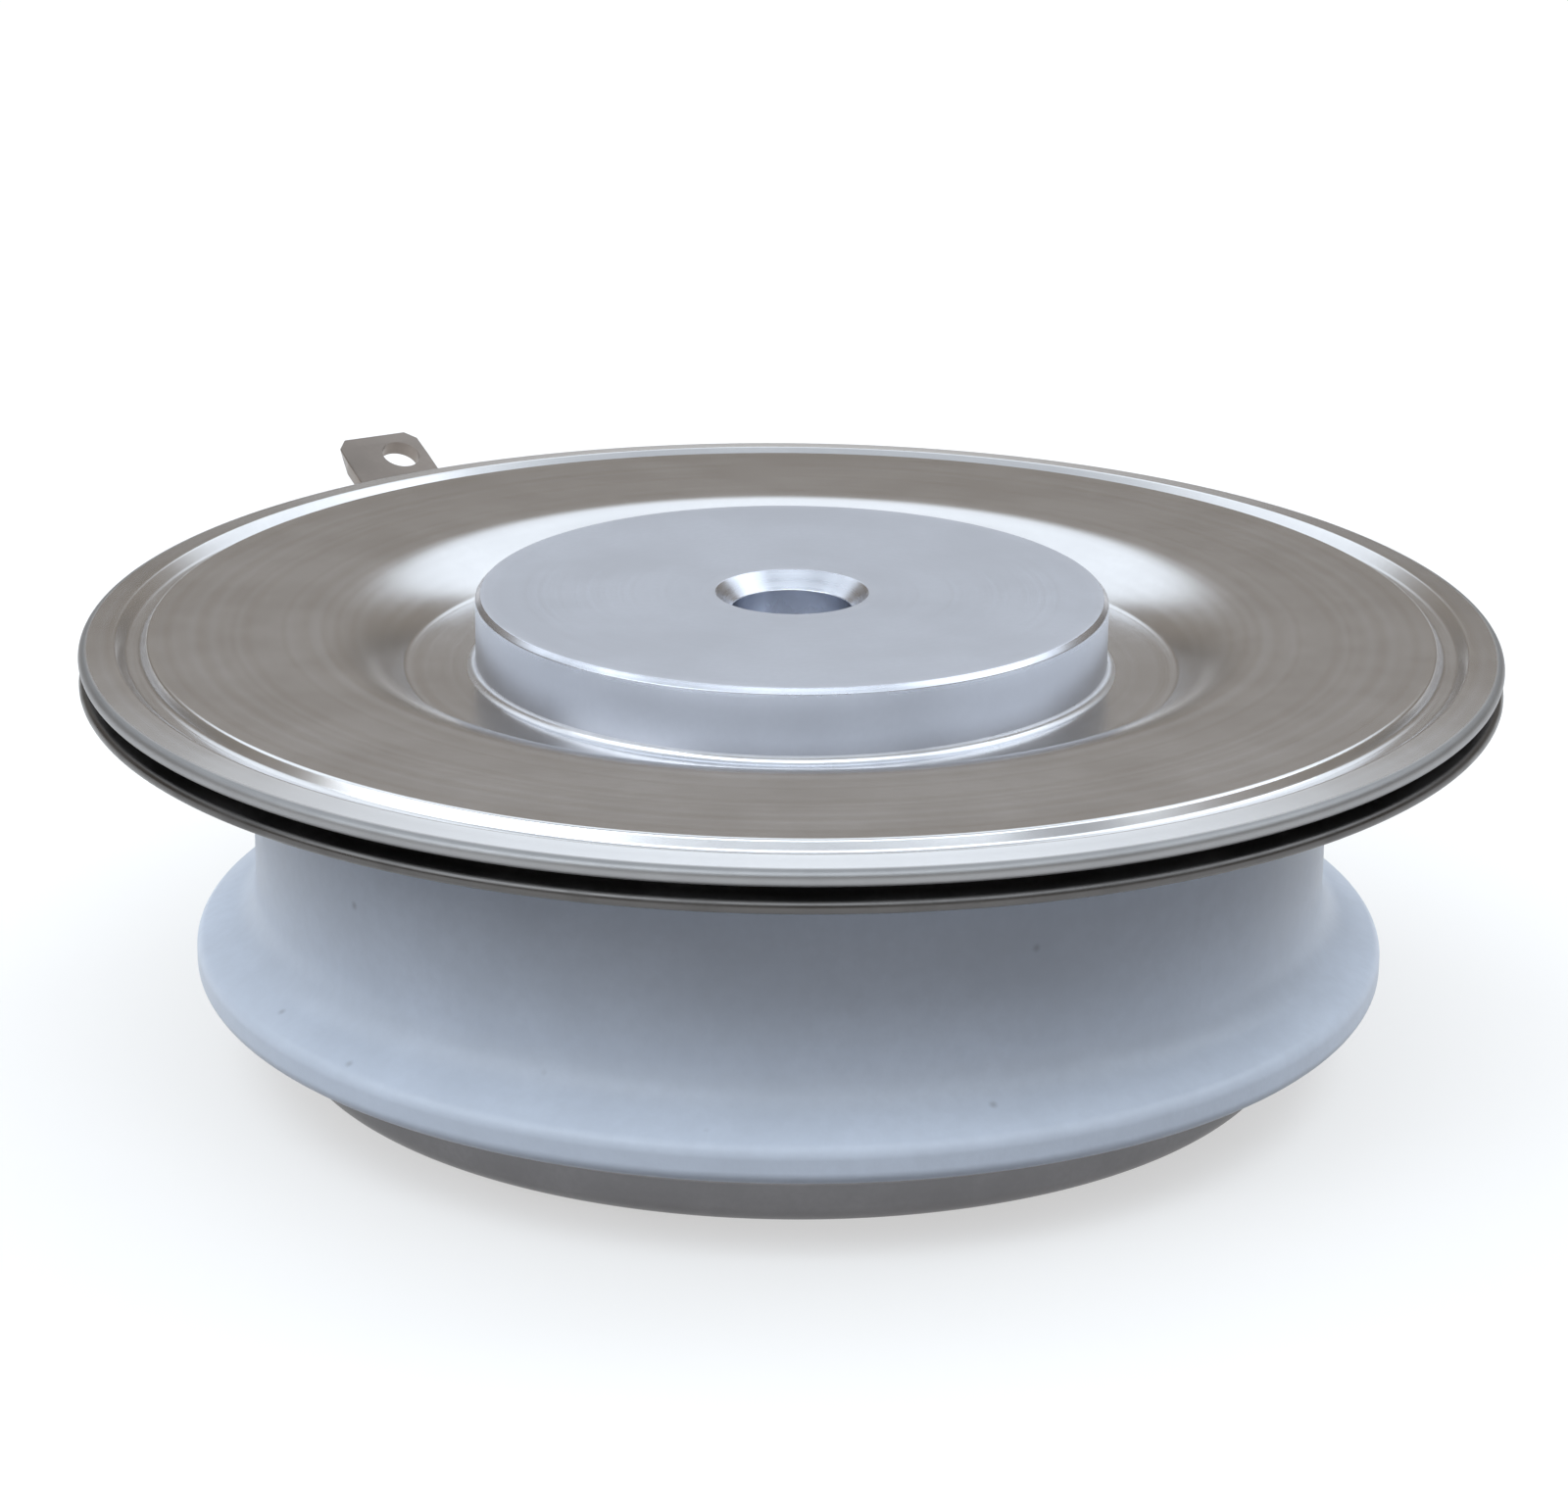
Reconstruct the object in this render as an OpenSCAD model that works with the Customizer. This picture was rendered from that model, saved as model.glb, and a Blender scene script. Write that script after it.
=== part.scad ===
// Disc thyristor: a flat press-fit power capsule.
// The anode contact face lies on z = 0 and the cathode contact face is at the top.

/* [Capsule] */
// Height from the anode contact face to the cathode contact face
capsule_h = 14; // [13.5:0.1:18]
// Diameter over the welded flanges
flange_d = 42; // [41:0.5:46]
// Thickness of each layer of braze on the ceramic
braze_t = 0.1; // [0.05:0.05:0.2]

/* [Contact poles] */
// Diameter of both contact faces
pole_d = 18.75; // [17:0.25:19]
// Diameter of the poles inside the capsule
pole_body_d = 20.6; // [20:0.1:21.2]
// Height of the anode pole inside the capsule
anode_body_h = 4.1; // [3:0.1:4.6]
// Height of the cathode face above the lid
cathode_proud = 0.95; // [0.6:0.05:1.3]
// Height of the anode flange above the anode face
anode_proud = 0.3; // [0.3:0.05:0.6]
// Chamfer on the rim of the cathode face
cathode_chamfer = 0.15; // [0.1:0.05:0.4]
// Chamfer on the rim of the anode face
anode_chamfer = 0.1; // [0.05:0.05:0.1]
// Bevel on the inner edge of the cathode pole
cathode_bevel = 1; // [0.5:0.1:1.4]
// Diameter of the locating hole in each contact face
locating_hole_d = 3.56; // [3:0.02:4.2]
// Depth of the locating holes
locating_hole_depth = 1.9; // [1.5:0.1:2.2]
// Chamfer at the mouth of the locating holes
locating_hole_chamfer = 0.5; // [0.2:0.1:0.8]
// Width of the braze fillet at the foot of each pole
fillet_w = 0.25; // [0.2:0.05:0.5]
// Height of the braze fillet at the foot of the cathode pole
cathode_fillet_h = 0.25; // [0.2:0.05:0.5]
// Height of the braze fillet at the foot of the anode pole
anode_fillet_h = 0.15; // [0.1:0.05:0.2]

/* [Lid] */
// Thickness of the lid sheet
lid_t = 0.55; // [0.4:0.05:0.7]
// Depth of the well round the cathode pole
well_depth = 1.25; // [0.8:0.05:1.5]
// Distance of the well's upper corner inside the ceramic's bore
well_corner_in = 0.55; // [0.4:0.05:0.8]
// Width of the slope from the well's floor up to its upper corner
well_slope_w = 1.05; // [0.9:0.05:1.3]
// Drop of the lid's underside to the weld near the rim
weld_depth = 0.3; // [0.2:0.05:0.4]
// Extra depth of the weld groove in the lid's upper face
weld_coin = 0.06; // [0.02:0.01:0.1]
// Distance of the weld groove's middle from the flange's edge
weld_inset = 1.6; // [1.5:0.1:2.2]
// Width of the weld groove's floor
weld_floor_w = 0.4; // [0.35:0.05:0.6]
// Width of the weld groove's steep inner wall
weld_inner_w = 0.2; // [0.15:0.05:0.3]
// Width of the weld groove's sloping outer wall
weld_outer_w = 0.35; // [0.3:0.05:0.45]
// Thickness of the lid's rim at its edge
rim_t = 0.5; // [0.4:0.05:0.55]
// Fall of the rim's inner corner below the annulus
rim_drop = 0.06; // [0.02:0.01:0.1]
// Fall of the rim's edge below the annulus
rim_droop = 0.16; // [0.1:0.01:0.3]

/* [Seal flange] */
// Thickness of the seal flange
seal_t = 0.4; // [0.3:0.05:0.5]
// Fall of the seal flange's edge away from the lid
seal_splay = 0.15; // [0.05:0.05:0.3]
// Set-back of the flange's inner edge from the ceramic's bore
seal_setback = 0.4; // [0.2:0.1:0.8]

/* [Anode flange] */
// Thickness of the anode flange
anode_flange_t = 0.5; // [0.4:0.05:0.6]
// Height of the anode flange's dish
dish_h = 1.7; // [1.4:0.1:2.2]
// Distance of the dish's lower corner inside the ceramic's neck
dish_inset = 1.1; // [0.9:0.1:1.6]
// Width of the dish's sloping wall
dish_wall_w = 0.3; // [0.1:0.1:0.4]
// Reach of the anode flange's rim beyond the ceramic's neck
anode_rim_out = 0.4; // [0.3:0.1:1]

/* [Ceramic] */
// Wall of the ceramic's neck
ceramic_wall = 2.8; // [2.4:0.1:3.2]
// Reach of the ceramic's flared foot beyond its neck
flare_out = 1.8; // [1.6:0.1:2.4]
// Height of the flare's upright edge
flare_edge_h = 1.1; // [1:0.1:1.5]
// Height of the slope from the flare's edge up to the neck
flare_slope_h = 0.9; // [0.6:0.1:1.4]
// Gap between the wafer's locating ring and the ceramic's bore
ceramic_bore_gap = 0.3; // [0.2:0.05:0.5]

/* [Wafer stack] */
// Diameter of the anode molybdenum disc
anode_disc_d = 23.6; // [23.4:0.1:24]
// Thickness of the anode molybdenum disc
anode_disc_t = 1.5; // [1.2:0.1:1.8]
// Width of the anode molybdenum disc left round the silicon wafer
wafer_margin = 0.5; // [0.4:0.05:0.8]
// Thickness of the silicon wafer
wafer_t = 0.4; // [0.3:0.05:0.6]
// Width of the bevel round the wafer's edge
wafer_bevel = 0.5; // [0.3:0.05:0.7]
// Set-back of the cathode molybdenum disc's edge from the wafer's
cathode_disc_setback = 2; // [1.8:0.05:2.3]
// Thickness of the cathode molybdenum disc
cathode_disc_t = 0.7; // [0.5:0.1:0.9]
// Thickness of the rubber bead over the wafer's edge
edge_seal_t = 0.2; // [0.15:0.05:0.3]
// Overlap of the rubber bead on the wafer's face
edge_seal_overlap = 0.3; // [0.2:0.05:0.4]
// Wall of the locating ring round the anode molybdenum disc
locating_ring_wall = 1.05; // [0.85:0.05:1.15]
// Length of the locating ring's grip on the anode pole
locating_ring_grip = 1.3; // [0.8:0.1:1.8]

/* [Gate contact] */
// Diameter of the gate bore in the cathode pole
gate_bore_d = 4.5; // [4.3:0.1:4.7]
// Copper left between the gate bore and the locating hole
gate_web = 0.7; // [0.5:0.1:1]
// Wall of the insulator cup
cup_wall = 0.6; // [0.5:0.05:0.65]
// Thickness of the insulator cup's closed end
cup_end_t = 0.5; // [0.3:0.1:0.7]
// Gap between the insulator cup's mouth and the wafer
cup_lift = 0.2; // [0.1:0.05:0.3]
// Length of the guide bush
bush_l = 0.8; // [0.6:0.1:1]
// Diameter of the gate pin's shank
pin_d = 1.5; // [1.2:0.1:1.7]
// Diameter of the gate pin's tip
pin_tip_d = 0.9; // [0.6:0.1:1.1]
// Diameter of the gate pin's head
pin_head_d = 2.8; // [2.6:0.1:2.9]
// Thickness of the gate pin's head
pin_head_t = 0.9; // [0.8:0.1:1]
// Diameter of the spring's wire
spring_wire_d = 0.3; // [0.2:0.02:0.34]
// Diameter over the spring's coils
spring_d = 2.3; // [2:0.1:2.5]
// Turns of the spring
spring_turns = 3; // [2:0.5:4]

/* [Gate lead and terminal] */
// Direction of the gate terminal round the capsule
gate_angle = 121; // [0:1:359]
// Height of the gate lead above the cathode molybdenum disc
lead_rise = 1.1; // [1:0.05:1.3]
// Diameter of the gate lead
lead_d = 0.6; // [0.4:0.05:0.7]
// Wall of the insulating sleeve on the lead
sleeve_wall = 0.25; // [0.15:0.05:0.3]
// Diameter of the feedthrough tube
tube_d = 1.9; // [1.7:0.1:2.2]
// Length of tube that stands into the ceramic's bore
tube_inside_l = 1; // [0.6:0.1:1.2]
// Length of round tube outside the ceramic's neck
tube_outside_l = 1.6; // [1.2:0.1:2]
// Length over which the tube is pinched flat
pinch_l = 1; // [0.8:0.1:1.4]
// Length of round tube that the pinch's flats run out over
pinch_lead = 0.2; // [0.1:0.05:0.4]
// Length of the tube's flat tongue
tongue_l = 2; // [1.4:0.1:2.4]
// Width of the tube's flat tongue
tongue_w = 2.4; // [2:0.1:2.8]
// Thickness of the tube's flat tongue
tongue_t = 0.8; // [0.6:0.1:1]
// Diameter over the braze ring round the tube
tube_braze_d = 3.2; // [2.8:0.1:3.6]
// Thickness of the braze ring round the tube
tube_braze_t = 0.35; // [0.2:0.05:0.5]
// Width of the terminal lug
lug_w = 3; // [2.8:0.1:3.4]
// Thickness of the terminal lug
lug_t = 0.5; // [0.4:0.05:0.8]
// Reach of the lug's tip beyond the flange's edge
lug_reach = 7; // [5.5:0.1:9]
// Distance of the lug's bend beyond the flange's edge
lug_bend_out = 1.3; // [1:0.1:2]
// Upward angle of the lug beyond its bend
lug_angle = 25; // [15:1:30]
// Diameter of the lug's hole
lug_hole_d = 1.3; // [1:0.05:1.5]
// Distance of the hole's centre from the lug's tip
lug_hole_inset = 1.1; // [1:0.05:2]
// Distance of the hole's centre to the side of the lug's middle
lug_hole_side = 0.5; // [0:0.05:0.5]
// Chamfer across each corner of the lug's tip
lug_corner = 0.9; // [0.4:0.1:1]

/* [Fits] */
// Radial clearance of assembled pieces
fit_clear = 0.05; // [0.03:0.01:0.08]
// Clearance round the sleeve in its slot
slot_clear = 0.1; // [0.05:0.05:0.15]

/* [Hidden] */

// Smoothness of round surfaces, of bends in a section, of the neck's wall and of the spring
$fn = 96;
bend_steps = 8;
neck_fn = 720;
coil_steps = 20;
coil_sides = 8;
// Overlap of a cutting shape past the surface it cuts
cut = 1;

// Radii
flange_r = flange_d / 2;
pole_r = pole_d / 2;
pole_body_r = pole_body_d / 2;
weld_r = flange_r - weld_inset;
locating_hole_r = locating_hole_d / 2;
anode_disc_r = anode_disc_d / 2;
wafer_r = anode_disc_r - wafer_margin;
cathode_disc_r = wafer_r - cathode_disc_setback;
locating_ring_r = anode_disc_r + fit_clear + locating_ring_wall;
ceramic_bore_r = locating_ring_r + ceramic_bore_gap;
neck_r = ceramic_bore_r + ceramic_wall;
flare_r = neck_r + flare_out;
anode_rim_r = neck_r + anode_rim_out;
dish_r = neck_r - dish_inset;
well_corner_r = ceramic_bore_r - well_corner_in;
gate_bore_r = gate_bore_d / 2;
cup_r = gate_bore_r - fit_clear;
cup_bore_r = cup_r - cup_wall;
pin_head_r = pin_head_d / 2;
lead_r = lead_d / 2;
sleeve_bore_r = lead_r + fit_clear;
sleeve_r = sleeve_bore_r + sleeve_wall;
tube_r = tube_d / 2;

// Heights, from the anode face upwards
anode_shoulder_z = anode_proud + anode_flange_t;
ceramic_z = anode_shoulder_z + dish_h + braze_t;
annulus_z = capsule_h - cathode_proud;
weld_z = annulus_z - weld_depth - lid_t;
seal_z = weld_z - seal_t;
ceramic_top_z = seal_z - braze_t;
well_z = annulus_z - well_depth;
cathode_shoulder_z = well_z - lid_t;
anode_disc_z = anode_shoulder_z + anode_body_h;
wafer_z = anode_disc_z + anode_disc_t;
cathode_disc_z = wafer_z + wafer_t;
cathode_pole_z = cathode_disc_z + cathode_disc_t;
gate_bore_z = capsule_h - locating_hole_depth - gate_web;
cup_z = cathode_disc_z + cup_lift;
cup_end_z = gate_bore_z - cup_end_t;
lead_z = cathode_pole_z + lead_rise;
pin_head_z = lead_z - pin_head_t / 2;
spring_z = lead_z + pin_head_t / 2;
lug_z = lead_z + tongue_t / 2;

// Distances along the gate lead, from the capsule's axis
lead_socket_l = pin_head_r / 2;
tube_start = ceramic_bore_r - tube_inside_l;
pinch_start = neck_r + tube_outside_l;
tongue_start = pinch_start + pinch_l;
lug_bend = flange_r + lug_bend_out;
lug_tip = flange_r + lug_reach;

// Radii of bends, along the middle of a sheet or on an outline
well_angle = atan(well_depth / well_slope_w);
well_bend_r = 0.8 * norm([well_depth, well_slope_w]) / tan(well_angle / 2);
well_foot_bend_r = lid_t * 0.9;
weld_bend_r = weld_floor_w / 2;
weld_lip_r = weld_floor_w * 0.3;
seal_bend_r = seal_t * 2;
dish_bend_r = anode_flange_t * 0.9;
flare_round_r = 0.45;
flare_sweep_r = 1.4;
lug_bend_r = lug_t * 2;

// Flat outlines made of straight runs and round bends
function flat(p) = [p[0], p[1]];
function heading(p, q) = (flat(q) - flat(p)) / norm(flat(q) - flat(p));
function left_of(v) = [-v[1], v[0]];
function turned(v, angle) = cos(angle) * v + sin(angle) * left_of(v);
function turn_angle(a, b) = atan2(a[0] * b[1] - a[1] * b[0], a * b);

// Points of a bend at corner p, from heading a to heading b, moved to the left by d
function bend(p, a, b, radius, d) =
    let (angle = turn_angle(a, b))
    let (side = sign(angle))
    let (start = flat(p) - a * radius * tan(abs(angle) / 2))
    let (centre = start + side * radius * left_of(a))
    [for (i = [0:bend_steps])
        centre - side * (radius - side * d) * left_of(turned(a, angle * i / bend_steps))];

// One face of a bent sheet: its middle line [r, z, bend radius], moved to the left by d
function sheet_face(path, d) =
    let (last = len(path) - 1)
    concat(
        [flat(path[0]) + d * left_of(heading(path[0], path[1]))],
        [for (i = [1:last - 1])
            let (before = heading(path[i - 1], path[i]))
            let (after = heading(path[i], path[i + 1]))
            each bend(path[i], before, after, path[i][2], d)],
        [flat(path[last]) + d * left_of(heading(path[last - 1], path[last]))]);

function reversed(list) = [for (i = [len(list) - 1:-1:0]) list[i]];

// Half-round edge at the end of a sheet of thickness t
function sheet_edge(path, t) =
    let (last = len(path) - 1)
    let (ahead = heading(path[last - 1], path[last]))
    [for (i = [1:bend_steps - 1])
        flat(path[last]) + t / 2 * turned(ahead, 90 - 180 * i / bend_steps)];

module sheet_section(path, t) {
    polygon(concat(sheet_face(path, t / 2), sheet_edge(path, t), reversed(sheet_face(path, -t / 2))));
}

// Closed outline whose corners [r, z, radius] are rounded where a radius is given
module rounded_section(corners) {
    last = len(corners) - 1;
    polygon([for (i = [0:last])
        let (before = corners[i == 0 ? last : i - 1])
        let (after = corners[i == last ? 0 : i + 1])
        let (here = corners[i])
        each len(here) == 3
            ? bend(here, heading(before, here), heading(here, after), here[2], 0)
            : [here]]);
}

// Hollow fillet round the foot of a pole, with its corner at height z; rise is up or down
module braze_fillet(z, rise) {
    rotate_extrude()
        polygon(concat([[pole_r, z]],
            [for (i = [0:bend_steps])
                let (a = 90 * i / bend_steps)
                [pole_r + fillet_w * (1 - sin(a)), z + rise * (1 - cos(a))]]));
}

module ring(inner_r, outer_r, z, h) {
    translate([0, 0, z])
        difference() {
            cylinder(r = outer_r, h = h);
            translate([0, 0, -cut])
                cylinder(r = inner_r, h = h + 2 * cut);
        }
}

// Round bar along the gate lead, from one distance from the axis to another
module gate_bar(r, from, to) {
    rotate([0, 0, gate_angle])
        translate([from, 0, lead_z])
            rotate([0, 90, 0])
                cylinder(r = r, h = to - from);
}

// Blind locating hole with its mouth at z = 0 and its depth upwards
module locating_hole() {
    rotate_extrude()
        polygon([
            [0, -cut],
            [locating_hole_r + locating_hole_chamfer, -cut],
            [locating_hole_r + locating_hole_chamfer, 0],
            [locating_hole_r, locating_hole_chamfer],
            [locating_hole_r, locating_hole_depth],
            [0, locating_hole_depth]
        ]);
}

module cathode_pole() {
    slot_w = 2 * (sleeve_r + slot_clear);
    slot_top = lead_z + sleeve_r + slot_clear;
    color([0.70, 0.72, 0.75])
        difference() {
            rotate_extrude()
                polygon([
                    [0, cathode_pole_z],
                    [pole_body_r - cathode_bevel, cathode_pole_z],
                    [pole_body_r, cathode_pole_z + cathode_bevel],
                    [pole_body_r, cathode_shoulder_z],
                    [pole_r, cathode_shoulder_z],
                    [pole_r, capsule_h - cathode_chamfer],
                    [pole_r - cathode_chamfer, capsule_h],
                    [0, capsule_h]
                ]);
            translate([0, 0, capsule_h])
                mirror([0, 0, 1])
                    locating_hole();
            translate([0, 0, cathode_pole_z - cut])
                cylinder(r = gate_bore_r, h = gate_bore_z - cathode_pole_z + cut);
            rotate([0, 0, gate_angle])
                translate([0, -slot_w / 2, cathode_pole_z - cut])
                    cube([pole_body_r + cut, slot_w, slot_top - cathode_pole_z + cut]);
        }
}

module cathode_lid() {
    under_z = annulus_z - lid_t;
    groove_z = annulus_z - weld_depth - weld_coin;
    groove_in = weld_r - weld_floor_w / 2;
    groove_out = weld_r + weld_floor_w / 2;
    rim_r = flange_r - rim_t / 2;
    well_foot_r = well_corner_r - well_slope_w;
    lean = lid_t / 2 * tan(well_angle / 2);
    upper_face = [
        [pole_r + fit_clear, well_z],
        [well_foot_r - lean, well_z, well_foot_bend_r - lid_t / 2],
        [well_corner_r - lean, annulus_z, well_bend_r + lid_t / 2],
        [groove_in - weld_inner_w, annulus_z, weld_lip_r],
        [groove_in, groove_z, weld_bend_r],
        [groove_out, groove_z, weld_bend_r],
        [groove_out + weld_outer_w, annulus_z - rim_drop, weld_lip_r],
        [rim_r, annulus_z - rim_droop]
    ];
    under_face = [
        [pole_r + fit_clear, cathode_shoulder_z],
        [well_foot_r + lean, cathode_shoulder_z, well_foot_bend_r + lid_t / 2],
        [well_corner_r + lean, under_z, well_bend_r - lid_t / 2],
        [weld_r - 2 * weld_floor_w, under_z, weld_bend_r],
        [weld_r - weld_floor_w, weld_z, weld_bend_r],
        [weld_r + weld_floor_w, weld_z, weld_bend_r],
        [weld_r + 2 * weld_floor_w, under_z - rim_drop, weld_bend_r],
        [rim_r, annulus_z - rim_droop - rim_t]
    ];
    edge = [for (i = [1:bend_steps - 1])
        let (a = 90 - 180 * i / bend_steps)
        [rim_r + rim_t / 2 * cos(a), annulus_z - rim_droop - rim_t / 2 + rim_t / 2 * sin(a)]];
    color([0.58, 0.54, 0.52])
        rotate_extrude()
            polygon(concat(sheet_face(upper_face, 0), edge, reversed(sheet_face(under_face, 0))));
}

module cathode_braze_ring() {
    color([0.85, 0.87, 0.90])
        braze_fillet(well_z, cathode_fillet_h);
}

module seal_flange() {
    middle_z = weld_z - seal_t / 2;
    color([0.42, 0.42, 0.43])
        rotate_extrude()
            sheet_section([
                [ceramic_bore_r + seal_setback, middle_z],
                [weld_r + weld_floor_w, middle_z, seal_bend_r],
                [flange_r - seal_t / 2, middle_z - seal_splay]
            ], seal_t);
}

module seal_braze_ring() {
    color([0.80, 0.80, 0.78])
        ring(ceramic_bore_r + seal_setback, neck_r - seal_setback, ceramic_top_z, braze_t);
}

module ceramic_housing() {
    flare_top_z = ceramic_z + flare_edge_h;
    color([0.86, 0.88, 0.92])
        difference() {
            rotate_extrude()
                rounded_section([
                    [ceramic_bore_r, ceramic_z],
                    [flare_r, ceramic_z, flare_round_r],
                    [flare_r, flare_top_z, flare_round_r],
                    [neck_r, flare_top_z + flare_slope_h, flare_sweep_r],
                    [neck_r, ceramic_top_z],
                    [ceramic_bore_r, ceramic_top_z]
                ]);
            gate_bar(tube_r + fit_clear, ceramic_bore_r - cut, neck_r + cut);
        }
}

module base_braze_ring() {
    seat_r = dish_r + dish_wall_w + dish_bend_r;
    color([0.80, 0.80, 0.78])
        ring(seat_r, anode_rim_r - anode_flange_t / 2, ceramic_z - braze_t, braze_t);
}

module anode_flange() {
    middle_z = anode_proud + anode_flange_t / 2;
    color([0.40, 0.40, 0.42])
        rotate_extrude()
            sheet_section([
                [pole_r + fit_clear, middle_z],
                [dish_r, middle_z, dish_bend_r],
                [dish_r + dish_wall_w, middle_z + dish_h, dish_bend_r],
                [anode_rim_r - anode_flange_t / 2, middle_z + dish_h]
            ], anode_flange_t);
}

module anode_braze_ring() {
    color([0.85, 0.87, 0.90])
        braze_fillet(anode_proud, -anode_fillet_h);
}

module anode_pole() {
    color([0.70, 0.72, 0.75])
        difference() {
            rotate_extrude()
                polygon([
                    [0, 0],
                    [pole_r - anode_chamfer, 0],
                    [pole_r, anode_chamfer],
                    [pole_r, anode_shoulder_z],
                    [pole_body_r, anode_shoulder_z],
                    [pole_body_r, anode_disc_z],
                    [0, anode_disc_z]
                ]);
            locating_hole();
        }
}

module anode_molybdenum_disc() {
    color([0.55, 0.56, 0.58])
        translate([0, 0, anode_disc_z])
            cylinder(r = anode_disc_r, h = anode_disc_t);
}

module silicon_wafer() {
    color([0.30, 0.33, 0.40])
        translate([0, 0, wafer_z])
            cylinder(r1 = wafer_r, r2 = wafer_r - wafer_bevel, h = wafer_t);
}

module wafer_edge_seal() {
    face_r = wafer_r - wafer_bevel;
    color([0.75, 0.30, 0.22])
        rotate_extrude()
            polygon([
                [wafer_r, wafer_z],
                [wafer_r + edge_seal_t, wafer_z],
                [wafer_r + edge_seal_t, wafer_z + wafer_t / 2],
                [face_r + edge_seal_t, cathode_disc_z + edge_seal_t],
                [face_r - edge_seal_overlap, cathode_disc_z + edge_seal_t],
                [face_r - edge_seal_overlap, cathode_disc_z],
                [face_r, cathode_disc_z]
            ]);
}

module cathode_molybdenum_disc() {
    color([0.55, 0.56, 0.58])
        ring(gate_bore_r, cathode_disc_r, cathode_disc_z, cathode_disc_t);
}

module wafer_locating_ring() {
    grip_z = anode_disc_z - locating_ring_grip;
    color([0.93, 0.93, 0.90])
        rotate_extrude()
            polygon([
                [pole_body_r + fit_clear, grip_z],
                [locating_ring_r, grip_z],
                [locating_ring_r, wafer_z],
                [anode_disc_r + fit_clear, wafer_z],
                [anode_disc_r + fit_clear, anode_disc_z],
                [pole_body_r + fit_clear, anode_disc_z]
            ]);
}

module gate_pin() {
    tip_taper = (pin_d - pin_tip_d) / 2;
    color([0.80, 0.68, 0.40])
        difference() {
            rotate_extrude()
                polygon([
                    [0, cathode_disc_z],
                    [pin_tip_d / 2, cathode_disc_z],
                    [pin_d / 2, cathode_disc_z + tip_taper],
                    [pin_d / 2, pin_head_z],
                    [pin_head_r, pin_head_z],
                    [pin_head_r, spring_z],
                    [0, spring_z]
                ]);
            gate_bar(lead_r, pin_head_r - lead_socket_l, pin_head_r + cut);
        }
}

module gate_spring() {
    wire_r = spring_wire_d / 2;
    coil_r = spring_d / 2 - wire_r;
    rise = cup_end_z - spring_z - spring_wire_d;
    rings = coil_steps * spring_turns;
    points = [for (i = [0:rings], j = [0:coil_sides - 1])
        let (a = 360 * i / coil_steps)
        let (b = 360 * j / coil_sides)
        let (r = coil_r + wire_r * cos(b))
        [r * cos(a), r * sin(a), spring_z + wire_r + rise * i / rings + wire_r * sin(b)]];
    walls = [for (i = [0:rings - 1], j = [0:coil_sides - 1])
        let (k = (j + 1) % coil_sides)
        [i * coil_sides + j, i * coil_sides + k, (i + 1) * coil_sides + k, (i + 1) * coil_sides + j]];
    first_end = [for (j = [coil_sides - 1:-1:0]) j];
    last_end = [for (j = [0:coil_sides - 1]) rings * coil_sides + j];
    color([0.72, 0.73, 0.76])
        polyhedron(points, concat([first_end], walls, [last_end]));
}

module gate_insulator_cup() {
    notch_w = 2 * (lead_r + slot_clear);
    color([0.95, 0.95, 0.93])
        difference() {
            translate([0, 0, cup_z])
                cylinder(r = cup_r, h = gate_bore_z - cup_z);
            translate([0, 0, cup_z - cut])
                cylinder(r = cup_bore_r, h = cup_end_z - cup_z + cut);
            rotate([0, 0, gate_angle])
                translate([0, -notch_w / 2, cup_z - cut])
                    cube([cup_r + cut, notch_w, lead_z + lead_r + slot_clear - cup_z + cut]);
        }
}

module gate_guide_bush() {
    color([0.90, 0.88, 0.82])
        ring(pin_d / 2 + fit_clear, cup_bore_r - fit_clear, cup_z, bush_l);
}

module gate_lead() {
    color([0.82, 0.84, 0.86])
        gate_bar(lead_r, pin_head_r - lead_socket_l, pinch_start);
}

module gate_lead_sleeve() {
    color([0.92, 0.92, 0.92])
        difference() {
            gate_bar(sleeve_r, gate_bore_r, tube_start);
            gate_bar(sleeve_bore_r, gate_bore_r - cut, tube_start + cut);
        }
}

module gate_feedthrough_tube() {
    color([0.62, 0.62, 0.63]) {
        difference() {
            union() {
                gate_bar(tube_r, tube_start, pinch_start);
                rotate([0, 0, gate_angle])
                    translate([pinch_start, 0, lead_z])
                        rotate([0, 90, 0])
                            cylinder(r1 = tube_r, r2 = tongue_w / 2 - fit_clear, h = pinch_l);
            }
            gate_bar(sleeve_bore_r, tube_start - cut, pinch_start);
            pinch_flat();
            translate([0, 0, 2 * lead_z])
                mirror([0, 0, 1])
                    pinch_flat();
        }
        rotate([0, 0, gate_angle])
            translate([tongue_start, -tongue_w / 2, lead_z - tongue_t / 2])
                cube([tongue_l, tongue_w, tongue_t]);
    }
}

// Wedge of space over the pinched tube, down to the slope from round tube to flat tongue
module pinch_flat() {
    slope = (tube_r - tongue_t / 2) / (pinch_l + pinch_lead);
    start_h = tongue_t / 2 + slope * (pinch_l + pinch_lead + cut);
    rotate([0, 0, gate_angle])
        translate([pinch_start, tube_d, lead_z])
            rotate([90, 0, 0])
                linear_extrude(2 * tube_d)
                    polygon([
                        [-pinch_lead - cut, start_h],
                        [pinch_l, tongue_t / 2],
                        [pinch_l + cut, tongue_t / 2],
                        [pinch_l + cut, start_h + cut],
                        [-pinch_lead - cut, start_h + cut]
                    ]);
}

module feedthrough_braze_ring() {
    color([0.80, 0.80, 0.78])
        difference() {
            gate_bar(tube_braze_d / 2, neck_r - cut, neck_r + tube_braze_t);
            gate_bar(tube_r, neck_r - 2 * cut, neck_r + tube_braze_t + cut);
            translate([0, 0, lead_z - tube_braze_d])
                cylinder(r = neck_r, h = 2 * tube_braze_d, $fn = neck_fn);
        }
}

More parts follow.
